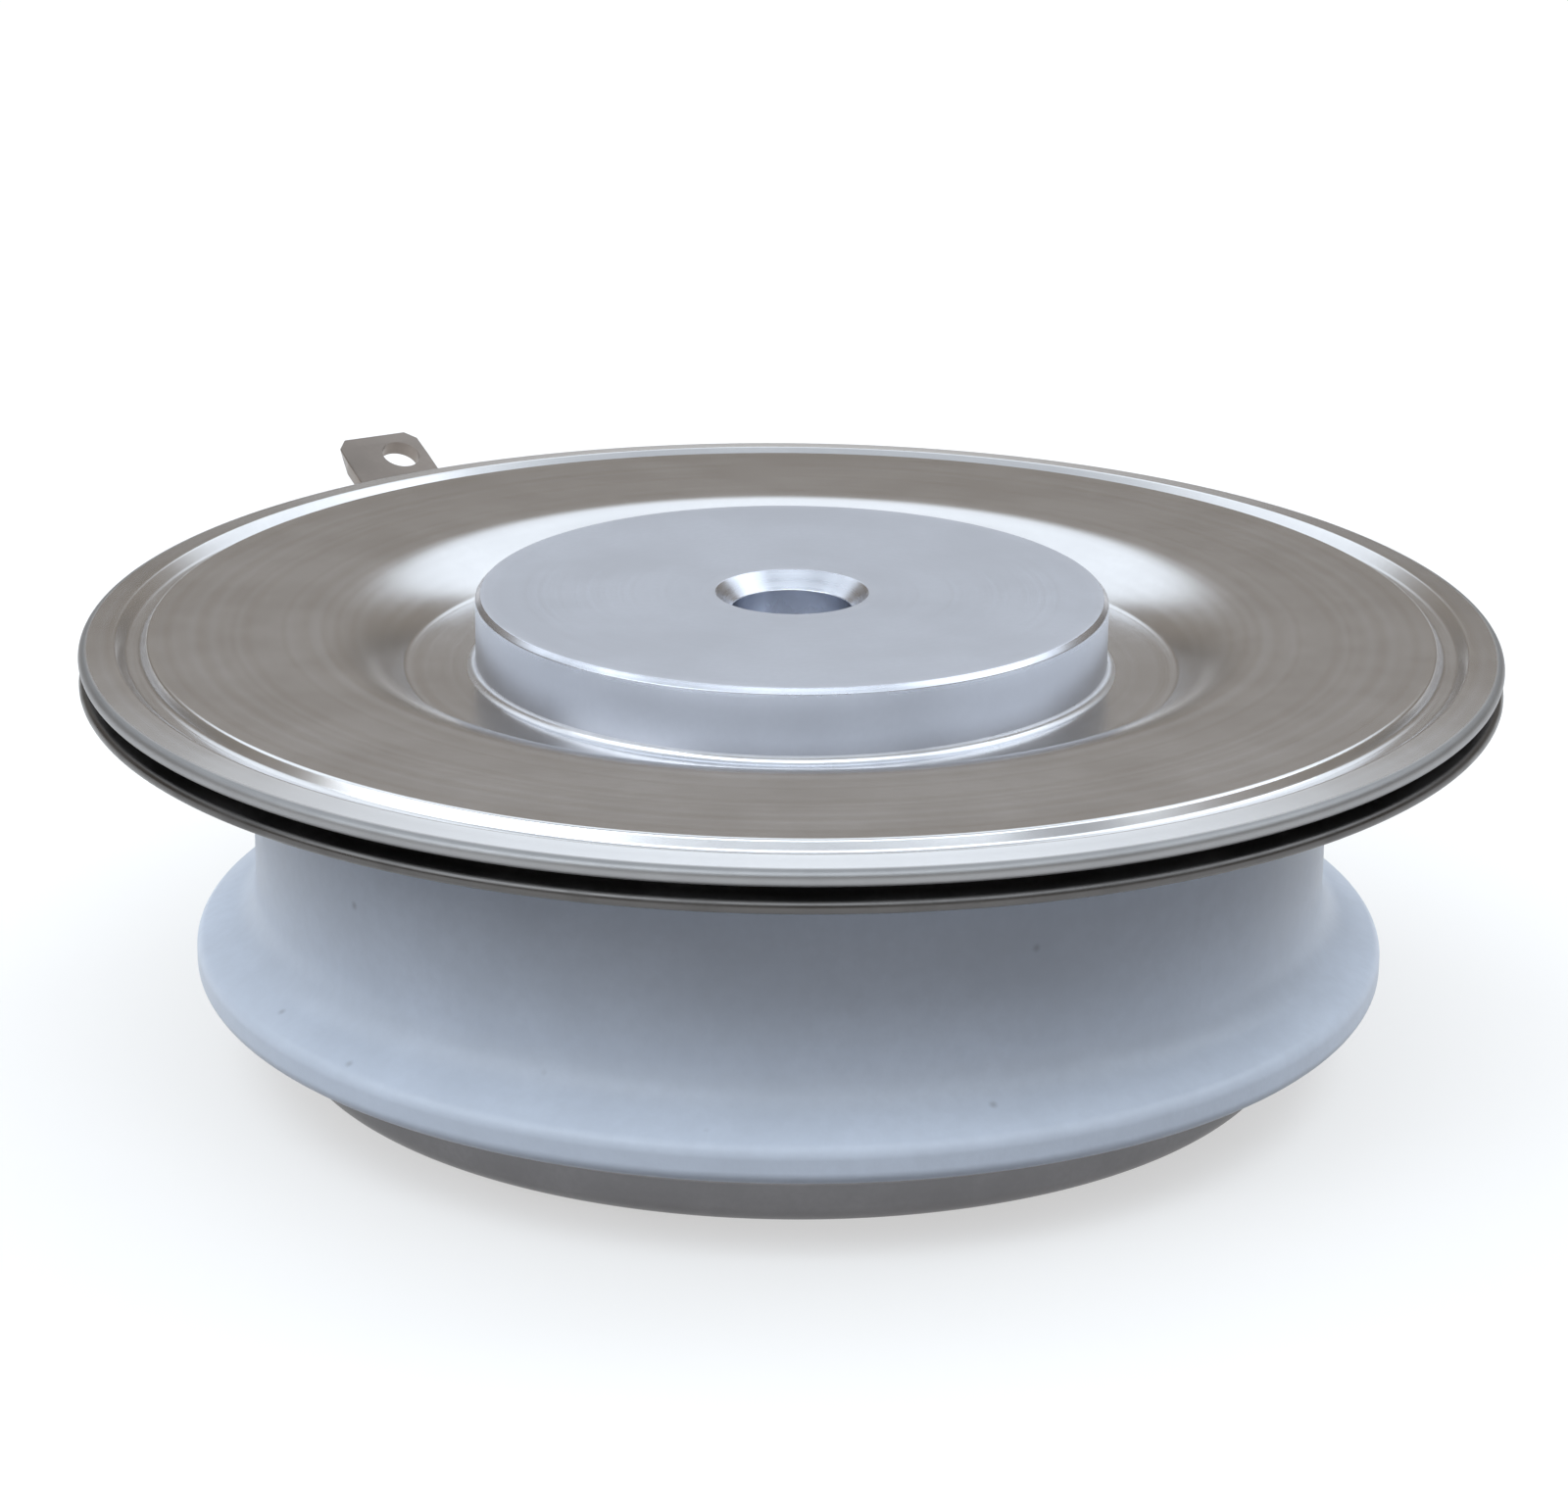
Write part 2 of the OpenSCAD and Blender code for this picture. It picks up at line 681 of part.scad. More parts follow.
module gate_terminal_lug() {
    middle_z = lug_z + lug_t / 2;
    tip_z = middle_z + (lug_tip - lug_bend) * tan(lug_angle);
    corner_l = lug_corner / 2;
    side_path = [
        [tongue_start, middle_z],
        [lug_bend, middle_z, lug_bend_r],
        [lug_tip, tip_z]
    ];
    color([0.60, 0.58, 0.56])
        rotate([0, 0, gate_angle])
            difference() {
                intersection() {
                    rotate([90, 0, 0])
                        translate([0, 0, -lug_w / 2])
                            linear_extrude(lug_w)
                                polygon(concat(sheet_face(side_path, lug_t / 2),
                                    reversed(sheet_face(side_path, -lug_t / 2))));
                    translate([0, 0, lug_z - cut])
                        linear_extrude(tip_z + lug_t - lug_z + 2 * cut)
                            polygon([
                                [tongue_start - cut, -lug_w / 2],
                                [lug_tip - corner_l, -lug_w / 2],
                                [lug_tip + lug_t, -lug_w / 2 + lug_corner],
                                [lug_tip + lug_t, lug_w / 2 - lug_corner],
                                [lug_tip - corner_l, lug_w / 2],
                                [tongue_start - cut, lug_w / 2]
                            ]);
                }
                translate([lug_tip, -lug_hole_side, tip_z])
                    rotate([0, -lug_angle, 0])
                        translate([-lug_hole_inset, 0, -lug_t])
                            cylinder(d = lug_hole_d, h = 2 * lug_t);
            }
}

cathode_pole();
cathode_lid();
cathode_braze_ring();
seal_flange();
seal_braze_ring();
ceramic_housing();
base_braze_ring();
anode_flange();
anode_braze_ring();
anode_pole();
anode_molybdenum_disc();
silicon_wafer();
wafer_edge_seal();
cathode_molybdenum_disc();
wafer_locating_ring();
gate_pin();
gate_spring();
gate_insulator_cup();
gate_guide_bush();
gate_lead();
gate_lead_sleeve();
gate_feedthrough_tube();
feedthrough_braze_ring();
gate_terminal_lug();
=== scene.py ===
"""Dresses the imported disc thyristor: smooth pieces over its solids, finishes, and a plain studio."""

import math

import bpy
import numpy as np
from bpy.props import FloatProperty, FloatVectorProperty, PointerProperty
from mathutils import Matrix, Vector


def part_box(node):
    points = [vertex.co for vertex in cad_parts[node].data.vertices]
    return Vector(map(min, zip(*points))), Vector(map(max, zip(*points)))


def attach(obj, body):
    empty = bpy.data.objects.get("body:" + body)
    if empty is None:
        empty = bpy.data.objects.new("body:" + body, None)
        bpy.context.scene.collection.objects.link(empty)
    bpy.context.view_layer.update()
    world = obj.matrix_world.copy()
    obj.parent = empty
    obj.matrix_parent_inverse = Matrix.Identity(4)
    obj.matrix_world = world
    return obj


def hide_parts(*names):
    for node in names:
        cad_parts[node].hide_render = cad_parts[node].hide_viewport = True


bl_info = {
    "name": "Disc thyristor",
    "version": (1, 0, 0),
    "blender": (4, 5, 0),
    "location": "3D View > Sidebar > Thyristor",
    "description": "Builds the visible pieces, finishes and studio of a disc thyristor",
    "category": "Object",
}

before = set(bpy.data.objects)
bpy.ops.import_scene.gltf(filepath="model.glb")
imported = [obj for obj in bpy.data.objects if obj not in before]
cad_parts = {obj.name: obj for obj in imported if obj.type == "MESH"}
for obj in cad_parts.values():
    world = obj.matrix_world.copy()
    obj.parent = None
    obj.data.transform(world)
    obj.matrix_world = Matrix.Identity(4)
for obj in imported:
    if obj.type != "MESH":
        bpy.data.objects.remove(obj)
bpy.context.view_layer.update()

MM = 0.001

# Points of a turned piece round the axis, of a small tube round its own, and of a bend
AROUND = 288
TUBE_SIDES = 96
BEND_STEPS = 14
# Shares of a straight run at which it gets extra points
SUPPORTS = np.array([0.015, 0.06, 0.2, 0.4, 0.6, 0.8, 0.94, 0.985])
SHARP_ANGLE = math.radians(32)

# Name of the mesh's edge value, how far it spreads, and what tells a finish from its slot
WEAR = "edge_wear"
WEAR_REACH = 0.16 * MM
FINISH = "_finish"

# Where the surround changes: heights, and for its bright back a depth, as parts of a unit vector
BACKDROP_BAND = (0.03, 0.07)
LOW_BAND = (0.05, 0.32)
HORIZON_BAND = (0.445, 0.52)
ZENITH_BAND = (0.78, 0.95)
BEHIND_BAND = (0.0, 0.35)
LIGHT_TINT = (0.87, 0.94, 1.0)
LIGHT_AIM = (0, 0, 0.01)
FLOOR_RADII = np.array([0.02, 0.08, 0.3, 1.0, 4.0])
FLOOR_SIDES = 96
# Where the floor fades from its glow to plain white
FLOOR_FADE_MM = (60, 360)

POLE_LOW, POLE_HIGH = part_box("cathode_pole")
LID_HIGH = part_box("cathode_lid")[1]
CERAMIC_LOW, CERAMIC_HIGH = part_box("ceramic_housing")
ANODE_DISC_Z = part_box("anode_molybdenum_disc")[0].z


def length(label, words, value, least=0.0):
    """A length in metres for the sidebar."""
    return FloatProperty(
        name=label, description=words, default=value, min=least, unit="LENGTH", precision=5
    )


def tilt(label, words, degrees):
    """An angle for the sidebar."""
    return FloatProperty(
        name=label, description=words, default=math.radians(degrees), subtype="ANGLE"
    )


def amount(label, words, value):
    """A plain number for the sidebar."""
    return FloatProperty(name=label, description=words, default=value, min=0.0)


def tint(label, words, value):
    """A linear colour for the sidebar."""
    return FloatVectorProperty(
        name=label, description=words, default=value, size=3, min=0.0, max=1.0, subtype="COLOR"
    )


class PoleSizes(bpy.types.PropertyGroup):
    """Sizes of the two turned contact poles"""

    face_r: length("Face radius", "Radius of both contact faces", 9.375 * MM)
    body_r: length("Body radius", "Radius of the poles inside the capsule", POLE_HIGH.x)
    top_z: length("Cathode face", "Height of the cathode face", POLE_HIGH.z)
    foot_z: length("Cathode foot", "Height of the cathode pole's inner face", POLE_LOW.z)
    cathode_shoulder: length("Cathode shoulder", "Height of the cathode pole's shoulder", 11.25 * MM)
    anode_shoulder: length("Anode shoulder", "Height of the anode pole's shoulder", 0.8 * MM)
    anode_top: length("Anode top", "Height of the anode pole's inner face", ANODE_DISC_Z)
    cathode_chamfer: length("Cathode chamfer", "Chamfer on the cathode face's rim", 0.15 * MM)
    anode_chamfer: length("Anode chamfer", "Chamfer on the anode face's rim", 0.1 * MM)
    bevel: length("Inner bevel", "Bevel on the cathode pole's inner edge", 1 * MM)
    hole_r: length("Hole radius", "Radius of the locating holes", 1.78 * MM)
    hole_depth: length("Hole depth", "Depth of the locating holes", 1.9 * MM)
    hole_chamfer: length("Hole chamfer", "Chamfer at the mouth of the locating holes", 0.5 * MM)
    gate_bore_r: length("Gate bore radius", "Radius of the bore for the gate contact", 2.25 * MM)
    gate_bore_z: length("Gate bore top", "Height of the gate bore's end", 11.4 * MM)
    slot_w: length("Slot width", "Width of the slot for the gate lead", 1.4 * MM)
    slot_top: length("Slot top", "Height of the slot's roof", 9.3 * MM)
    edge_round: length("Edge rounding", "Radius on the turned edges", 0.05 * MM)
    fillet_w: length("Fillet width", "Width of the braze fillets", 0.25 * MM)
    cathode_fillet_h: length("Cathode fillet", "Height of the cathode braze fillet", 0.25 * MM)
    anode_fillet_h: length("Anode fillet", "Height of the anode braze fillet", 0.15 * MM)


class SheetSizes(bpy.types.PropertyGroup):
    """Sizes of the pressed lid and the two flanges"""

    clear: length("Clearance", "Clearance round the poles", 0.05 * MM)
    lid_t: length("Lid thickness", "Thickness of the lid sheet", 0.55 * MM)
    lid_z: length("Annulus height", "Height of the lid's flat annulus", LID_HIGH.z)
    flange_r: length("Flange radius", "Radius over the welded flanges", LID_HIGH.x)
    well_depth: length("Well depth", "Depth of the well round the pole", 1.25 * MM)
    well_corner_r: length("Well corner", "Radius of the well's upper corner", 12.65 * MM)
    well_slope_w: length("Well slope", "Width of the well's slope", 1.05 * MM)
    well_bend: length("Well shoulder", "Radius of the well's upper bend", 2.8 * MM)
    well_foot_bend: length("Well foot", "Radius of the well's lower bend", 0.495 * MM)
    weld_r: length("Weld radius", "Radius of the weld groove's middle", 19.4 * MM)
    weld_depth: length("Weld depth", "Drop of the lid's underside to the weld", 0.3 * MM)
    weld_coin: length("Weld coin", "Extra depth of the groove in the upper face", 0.06 * MM)
    weld_floor_w: length("Weld floor", "Width of the weld groove's floor", 0.4 * MM)
    weld_inner_w: length("Inner wall", "Width of the weld groove's inner wall", 0.2 * MM)
    weld_outer_w: length("Outer wall", "Width of the weld groove's outer wall", 0.35 * MM)
    weld_bend: length("Weld bend", "Radius of the weld groove's bends", 0.2 * MM)
    weld_lip: length("Weld lip", "Radius on the weld groove's lips", 0.12 * MM)
    rim_t: length("Rim thickness", "Thickness of the lid's rim", 0.5 * MM)
    rim_drop: length("Rim drop", "Fall of the rim's inner corner", 0.06 * MM)
    rim_droop: length("Rim droop", "Fall of the rim's edge", 0.16 * MM)
    seal_t: length("Seal thickness", "Thickness of the seal flange", 0.4 * MM)
    seal_bore_r: length("Seal bore", "Radius of the seal flange's bore", 13.6 * MM)
    seal_splay: length("Seal splay", "Fall of the seal flange's edge", 0.15 * MM)
    seal_bend: length("Seal bend", "Radius of the seal flange's bend", 0.8 * MM)
    anode_t: length("Anode sheet", "Thickness of the anode flange", 0.5 * MM)
    anode_z: length("Anode sheet height", "Height of the anode flange over the anode face", 0.3 * MM)
    dish_r: length("Dish radius", "Radius of the dish's lower corner", 14.9 * MM)
    dish_wall_w: length("Dish wall", "Width of the dish's sloping wall", 0.3 * MM)
    dish_h: length("Dish height", "Height of the anode flange's dish", 1.7 * MM)
    dish_bend: length("Dish bend", "Radius of the dish's bends", 0.45 * MM)
    anode_rim_r: length("Anode rim", "Radius over the anode flange", 16.4 * MM)


class CeramicSizes(bpy.types.PropertyGroup):
    """Sizes of the ceramic housing"""

    low_z: length("Foot height", "Height of the ceramic's underside", CERAMIC_LOW.z)
    top_z: length("Top height", "Height of the ceramic's top", CERAMIC_HIGH.z)
    bore_r: length("Bore radius", "Radius of the ceramic's bore", 13.2 * MM)
    neck_r: length("Neck radius", "Radius of the ceramic's neck", 16 * MM)
    flare_r: length("Flare radius", "Radius of the flared foot", CERAMIC_HIGH.x)
    edge_h: length("Flare edge", "Height of the flare's upright edge", 1.1 * MM)
    slope_h: length("Flare slope", "Height of the flare's slope", 0.9 * MM)
    edge_round: length("Flare rounding", "Radius on the flare's edge", 0.45 * MM)
    sweep: length("Neck sweep", "Radius between slope and neck", 1.4 * MM)
    corner: length("Fired corner", "Radius on the ceramic's other corners", 0.12 * MM)


class GateSizes(bpy.types.PropertyGroup):
    """Sizes of the gate tube, its braze and the terminal lug"""

    angle: tilt("Direction", "Direction of the gate terminal round the capsule", 121)
    lead_z: length("Lead height", "Height of the gate lead", 8.6 * MM)
    bore_r: length("Tube bore", "Radius of the tube's bore", 0.35 * MM)
    tube_r: length("Tube radius", "Radius of the feedthrough tube", 0.95 * MM)
    tube_start: length("Tube start", "Distance of the tube's inner end from the axis", 12.2 * MM)
    pinch_start: length("Pinch start", "Distance of the pinch from the axis", 17.6 * MM)
    pinch_l: length("Pinch length", "Length of the pinch", 1 * MM)
    pinch_lead: length("Pinch run-out", "Round tube that the pinch's flats run out over", 0.2 * MM)
    tongue_l: length("Tongue length", "Length of the flat tongue", 2 * MM)
    tongue_w: length("Tongue width", "Width of the flat tongue", 2.4 * MM)
    tongue_t: length("Tongue thickness", "Thickness of the flat tongue", 0.8 * MM)
    hole_r: length("Ceramic hole", "Radius of the tube's hole in the ceramic", 1 * MM)
    braze_r: length("Braze radius", "Radius of the braze ring round the tube", 1.6 * MM)
    braze_t: length("Braze thickness", "Thickness of the braze ring round the tube", 0.35 * MM)
    lug_w: length("Lug width", "Width of the terminal lug", 3 * MM)
    lug_t: length("Lug thickness", "Thickness of the terminal lug", 0.5 * MM)
    lug_bend_at: length("Lug bend", "Distance of the lug's bend from the axis", 22.3 * MM)
    lug_tip: length("Lug tip", "Distance of the lug's tip from the axis", 28 * MM)
    lug_bend_r: length("Lug bend radius", "Radius of the lug's bend", 1 * MM)
    lug_rise: tilt("Lug rise", "Upward angle of the lug beyond its bend", 25)
    lug_corner: length("Lug corner", "Chamfer across the lug's corners", 0.9 * MM)
    lug_hole_r: length("Lug hole", "Radius of the lug's hole", 0.65 * MM)
    lug_hole_inset: length("Hole inset", "Distance of the hole from the lug's tip", 1.1 * MM)
    lug_hole_side: length("Hole offset", "Distance of the hole from the lug's middle", 0.5 * MM)
    edge_round: length("Edge rounding", "Radius on the lug's and tongue's edges", 0.07 * MM)


class FinishColours(bpy.types.PropertyGroup):
    """Colours of the finishes"""

    pole: tint("Pole", "Plating on the contact poles", (0.64, 0.665, 0.73))
    lid: tint("Lid", "Satin lid sheet", (0.735, 0.735, 0.75))
    # Seal flange: colour darkened far below bare sheet metal, a painted shade for its place in the gap
    # under the lid's rim.
    flange: tint("Seal flange", "Dull sheet of the seal flange", (0.10, 0.096, 0.094))
    # Anode flange: colour darkened well below bare sheet metal, a painted shade for its place low down
    # near the floor.
    base: tint("Anode flange", "Dull sheet of the anode flange", (0.20, 0.198, 0.205))
    braze: tint("Braze", "Bright braze fillets", (0.68, 0.69, 0.72))
    gate: tint("Gate metal", "Gate tube and lug", (0.27, 0.235, 0.21))
    ceramic: tint("Ceramic", "Glazed ceramic housing", (0.70, 0.77, 0.89))
    floor: tint("Floor", "Studio floor", (0.95, 0.95, 0.95))


class StageSettings(bpy.types.PropertyGroup):
    """Camera and light of the studio"""

    elevation: tilt("Elevation", "Height of the camera over the horizon", 18.85)
    roll: tilt("Roll", "Turn of the camera about its own axis", 0.58)
    distance: length("Distance", "Distance of the camera from the lid's middle", 145 * MM)
    aim_x: length("Side shift", "Sideways place of the camera", -0.23 * MM, least=-1.0)
    aim_y: length("Up shift", "Upward place of the camera", -3.95 * MM, least=-1.0)
    lens: amount("Lens", "Focal length in millimetres", 112.2)
    overhead: amount("Overhead", "Brightness of the soft box overhead", 0.2)
    front: amount("Front", "Brightness of the soft box above the camera", 2.3)
    left: amount("Left", "Brightness of the soft box on the left", 2.1)
    right: amount("Right", "Brightness of the soft box on the right", 1.4)
    fill: amount("Fill", "Brightness of the two boxes that fill the sides", 1.6)
    surround: amount("Surround", "Strength of the light all round", 1.32)
    sky: tint("Upper light", "Surround behind, above the horizon band", (0.88, 0.94, 1.0))
    side_sky: tint("Side light", "Surround elsewhere, above the horizon band", (0.305, 0.324, 0.347))
    zenith: tint("Top light", "Surround straight above", (0.50, 0.53, 0.56))
    horizon: tint("Horizon light", "Surround below the upper light", (0.198, 0.173, 0.145))
    low: tint("Low light", "Surround at the level of the floor", (0.116, 0.107, 0.098))
    floor_bounce: tint("Floor bounce", "Floor as diffuse rays see it", (0.19, 0.19, 0.20))
    floor_glow: amount("Floor glow", "Share of plain white in the floor near the part", 0.55)


def settings(name):
    """One of the groups of settings kept on the scene."""
    return getattr(bpy.context.scene, "thyristor_" + name)


# Flat outlines


def unit(v):
    return v / np.linalg.norm(v)


def left_of(v):
    return np.array([-v[1], v[0]])


def corner_points(before, here, after, radius, shift):
    """A corner's points: the arc that touches both runs, every point moved sideways by shift."""
    a, b = unit(here - before), unit(after - here)
    if radius == 0:
        side = left_of(a) + left_of(b)
        return (here + shift * side / (1 + left_of(a) @ left_of(b)))[None]
    turn = math.atan2(a[0] * b[1] - a[1] * b[0], a @ b)
    side = math.copysign(1.0, turn)
    centre = here - a * radius * math.tan(abs(turn) / 2) + side * radius * left_of(a)
    angle = np.linspace(0, turn, BEND_STEPS + 1)[:, None]
    normal = np.cos(angle) * left_of(a) - np.sin(angle) * a
    return centre - side * (radius - side * shift) * normal


def with_supports(runs):
    """Joins runs of points, with extra points on the straight stretches between them."""
    joined = [runs[0]]
    for run in runs[1:]:
        start, end = joined[-1][-1], run[0]
        joined += [start + SUPPORTS[:, None] * (end - start), run]
    return np.concatenate(joined)


def outline(corners, shift=0.0):
    """Open line through corners (r, z, bend radius), moved to its left by shift."""
    flat = [np.array(c[:2]) for c in corners]
    bends = [c[2] if len(c) == 3 else 0 for c in corners]
    runs = [(flat[0] + shift * left_of(unit(flat[1] - flat[0])))[None]]
    for i in range(1, len(flat) - 1):
        runs.append(corner_points(flat[i - 1], flat[i], flat[i + 1], bends[i], shift))
    runs.append((flat[-1] + shift * left_of(unit(flat[-1] - flat[-2])))[None])
    return with_supports(runs)


def closed_outline(corners):
    """Closed line through corners (r, z, bend radius)."""
    start = tuple((np.array(corners[0][:2]) + np.array(corners[-1][:2])) / 2)
    return outline([start, *corners, start])[:-1]


def sheet_outline(path, thickness):
    """Section of a bent sheet: both faces beside its middle line, and a half-round outer edge."""
    ahead = unit(np.array(path[-1][:2]) - np.array(path[-2][:2]))
    angle = np.linspace(math.pi / 2, -math.pi / 2, BEND_STEPS + 1)[1:-1, None]
    edge = np.array(path[-1][:2]) + thickness / 2 * (
        np.cos(angle) * ahead + np.sin(angle) * left_of(ahead)
    )
    upper, lower = outline(path, thickness / 2), outline(path, -thickness / 2)[::-1]
    return np.concatenate([upper, edge, lower])


def outward_turn(section, closed):
    """How sharply a section bulges at each point, spread along the line by a bell curve, from 0 to 1."""
    before, after = np.roll(section, 1, 0), np.roll(section, -1, 0)
    if not closed:
        before[0], after[-1] = section[0], section[-1]
    a, b = section - before, after - section
    step = np.linalg.norm(a, axis=1)
    turn = np.arctan2(a[:, 0] * b[:, 1] - a[:, 1] * b[:, 0], (a * b).sum(1))
    area = (before[:, 0] * section[:, 1] - before[:, 1] * section[:, 0]).sum()
    bulge = np.clip(turn * np.sign(area), 0, None)
    place = np.cumsum(step)
    gap = np.abs(place[:, None] - place[None, :])
    if closed:
        gap = np.minimum(gap, place[-1] + step[0] - gap)
    return np.clip((np.exp(-((gap / WEAR_REACH) ** 2)) * bulge).sum(1), 0, 1)


# Meshes


def grid_quads(rows, columns, wrap_rows, wrap_columns):
    """Four corners of every cell of a grid of points, closed round where asked."""
    i = np.arange(rows if wrap_rows else rows - 1)[:, None]
    j = np.arange(columns if wrap_columns else columns - 1)[None, :]
    k, m = (i + 1) % rows, (j + 1) % columns
    cell = [i * columns + j, k * columns + j, k * columns + m, i * columns + m]
    return np.stack(np.broadcast_arrays(*cell), -1).reshape(-1, 4)


def signed_volume(points, faces):
    """Volume inside a closed mesh: the sum of the tetrahedra from the origin to each triangle."""
    total = 0.0
    for face in faces:
        for n in range(1, face.shape[1] - 1):
            a, b, c = points[face[:, 0]], points[face[:, n]], points[face[:, n + 1]]
            total += (a * np.cross(b, c)).sum() / 6
    return total


def new_piece(name, points, faces, wear=None):
    """Mesh object from points and arrays of faces, turned to face outwards and shaded smooth."""
    faces = [f for f in faces if len(f)]
    if signed_volume(points, faces) < 0:
        faces = [f[:, ::-1] for f in faces]
    mesh = bpy.data.meshes.new(name)
    mesh.vertices.add(len(points))
    mesh.vertices.foreach_set("co", points.astype(np.float32).ravel())
    corners = np.concatenate([f.ravel() for f in faces]).astype(np.int32)
    counts = np.concatenate([np.full(len(f), f.shape[1]) for f in faces])
    mesh.loops.add(len(corners))
    mesh.loops.foreach_set("vertex_index", corners)
    mesh.polygons.add(len(counts))
    mesh.polygons.foreach_set("loop_start", (np.cumsum(counts) - counts).astype(np.int32))
    mesh.update(calc_edges=True)
    if mesh.validate():
        raise RuntimeError(f"{name} has faulty faces")
    if wear is not None:
        layer = mesh.attributes.new(WEAR, "FLOAT", "POINT")
        layer.data.foreach_set("value", wear.astype(np.float32))
    shade(mesh)
    piece = bpy.data.objects.new(name, mesh)
    bpy.context.scene.collection.objects.link(piece)
    return piece


def shade(mesh):
    """Smooth shading, with hard edges where faces meet at a wide angle."""
    mesh.shade_smooth()
    mesh.set_sharp_from_angle(angle=SHARP_ANGLE)


def full_turn(count):
    """Angles of evenly spaced points on a circle."""
    return np.linspace(0, 2 * math.pi, count, endpoint=False)


def turned(section, count=AROUND):
    """Rings of points: each point (r, z) of a section goes round Z, x = r cos a and y = r sin a."""
    angle = full_turn(count)
    r, z = section[:, :1], section[:, 1:]
    return np.stack(np.broadcast_arrays(r * np.cos(angle), r * np.sin(angle), z), -1)


def revolve_ring(name, section):
    """Ring: a closed section (r, z) turned about Z."""
    quads = grid_quads(len(section), AROUND, True, True)
    wear = np.repeat(outward_turn(section, True), AROUND)
    return new_piece(name, turned(section).reshape(-1, 3), [quads], wear)


def cap_fans(first_ring, last_ring, first_pole, last_pole):
    """Triangles that close both ends of a run of rings onto a point each."""
    a = np.stack([np.full_like(first_ring, first_pole), np.roll(first_ring, -1), first_ring], -1)
    b = np.stack([np.full_like(last_ring, last_pole), last_ring, np.roll(last_ring, -1)], -1)
    return np.concatenate([a, b])


def loft(name, rings, first_pole, last_pole, wear=None):
    """Closed body through rings of points (n, m, 3), ended by a point at each side."""
    count, sides = rings.shape[:2]
    points = np.concatenate([rings.reshape(-1, 3), [first_pole, last_pole]])
    quads = grid_quads(count, sides, False, True)
    ends = np.arange(sides)
    fans = cap_fans(ends, ends + (count - 1) * sides, count * sides, count * sides + 1)
    return new_piece(name, points, [quads, fans], wear)


def revolve_body(name, section):
    """Solid body: an open section from axis to axis turned about Z, its two ends single points."""
    bulge = outward_turn(section, False)
    wear = np.concatenate([np.repeat(bulge[1:-1], AROUND), bulge[[0, -1]]])
    return loft(name, turned(section[1:-1]), (0, 0, section[0, 1]), (0, 0, section[-1, 1]), wear)


def to_gate(points):
    """Turns points from the XZ plane round to the gate terminal's direction."""
    angle = settings("gate").angle
    c, s = math.cos(angle), math.sin(angle)
    return points @ np.array([[c, s, 0], [-s, c, 0], [0, 0, 1]])


def cut_away(piece, cutter):
    """Takes the cutter's space out of a piece and removes the cutter."""
    bite = piece.modifiers.new("cut", "BOOLEAN")
    bite.operation = "DIFFERENCE"
    bite.solver = "EXACT"
    bite.object = cutter
    graph = bpy.context.evaluated_depsgraph_get()
    mesh = bpy.data.meshes.new_from_object(piece.evaluated_get(graph))
    piece.modifiers.clear()
    old = piece.data
    piece.data = mesh
    mesh.name = piece.name
    bpy.data.meshes.remove(old)
    bpy.data.meshes.remove(cutter.data)
    shade(piece.data)


def box_cutter(low, high):
    """Closed box between two corners, turned to the gate's direction."""
    corner = np.array([[i, j, k] for k in (0, 1) for j in (0, 1) for i in (0, 1)])
    points = to_gate(np.array(low) + corner * (np.array(high) - np.array(low)))
    quads = np.array(
        [[0, 2, 3, 1], [4, 5, 7, 6], [0, 1, 5, 4], [2, 6, 7, 3], [0, 4, 6, 2], [1, 3, 7, 5]]
    )
    return new_piece("cutter", points, [quads])


def rod_cutter(start, end, radius):
    """Closed round rod from one point to another, which may point anywhere but along askew."""
    askew = (0.3, 0.5, 0.81)
    axis = unit(end - start)
    across = unit(np.cross(axis, askew))
    other = np.cross(axis, across)
    angle = full_turn(TUBE_SIDES)[:, None]
    ring = radius * (np.cos(angle) * across + np.sin(angle) * other)
    return loft("cutter", np.stack([start + ring, end + ring]), start, end)


def settle(piece, node, material):
    """Puts a piece in the place of its CAD node, with its finish."""
    piece.data.materials.clear()
    piece.data.materials.append(material)
    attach(piece, "root")
    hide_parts(node)


# Finishes


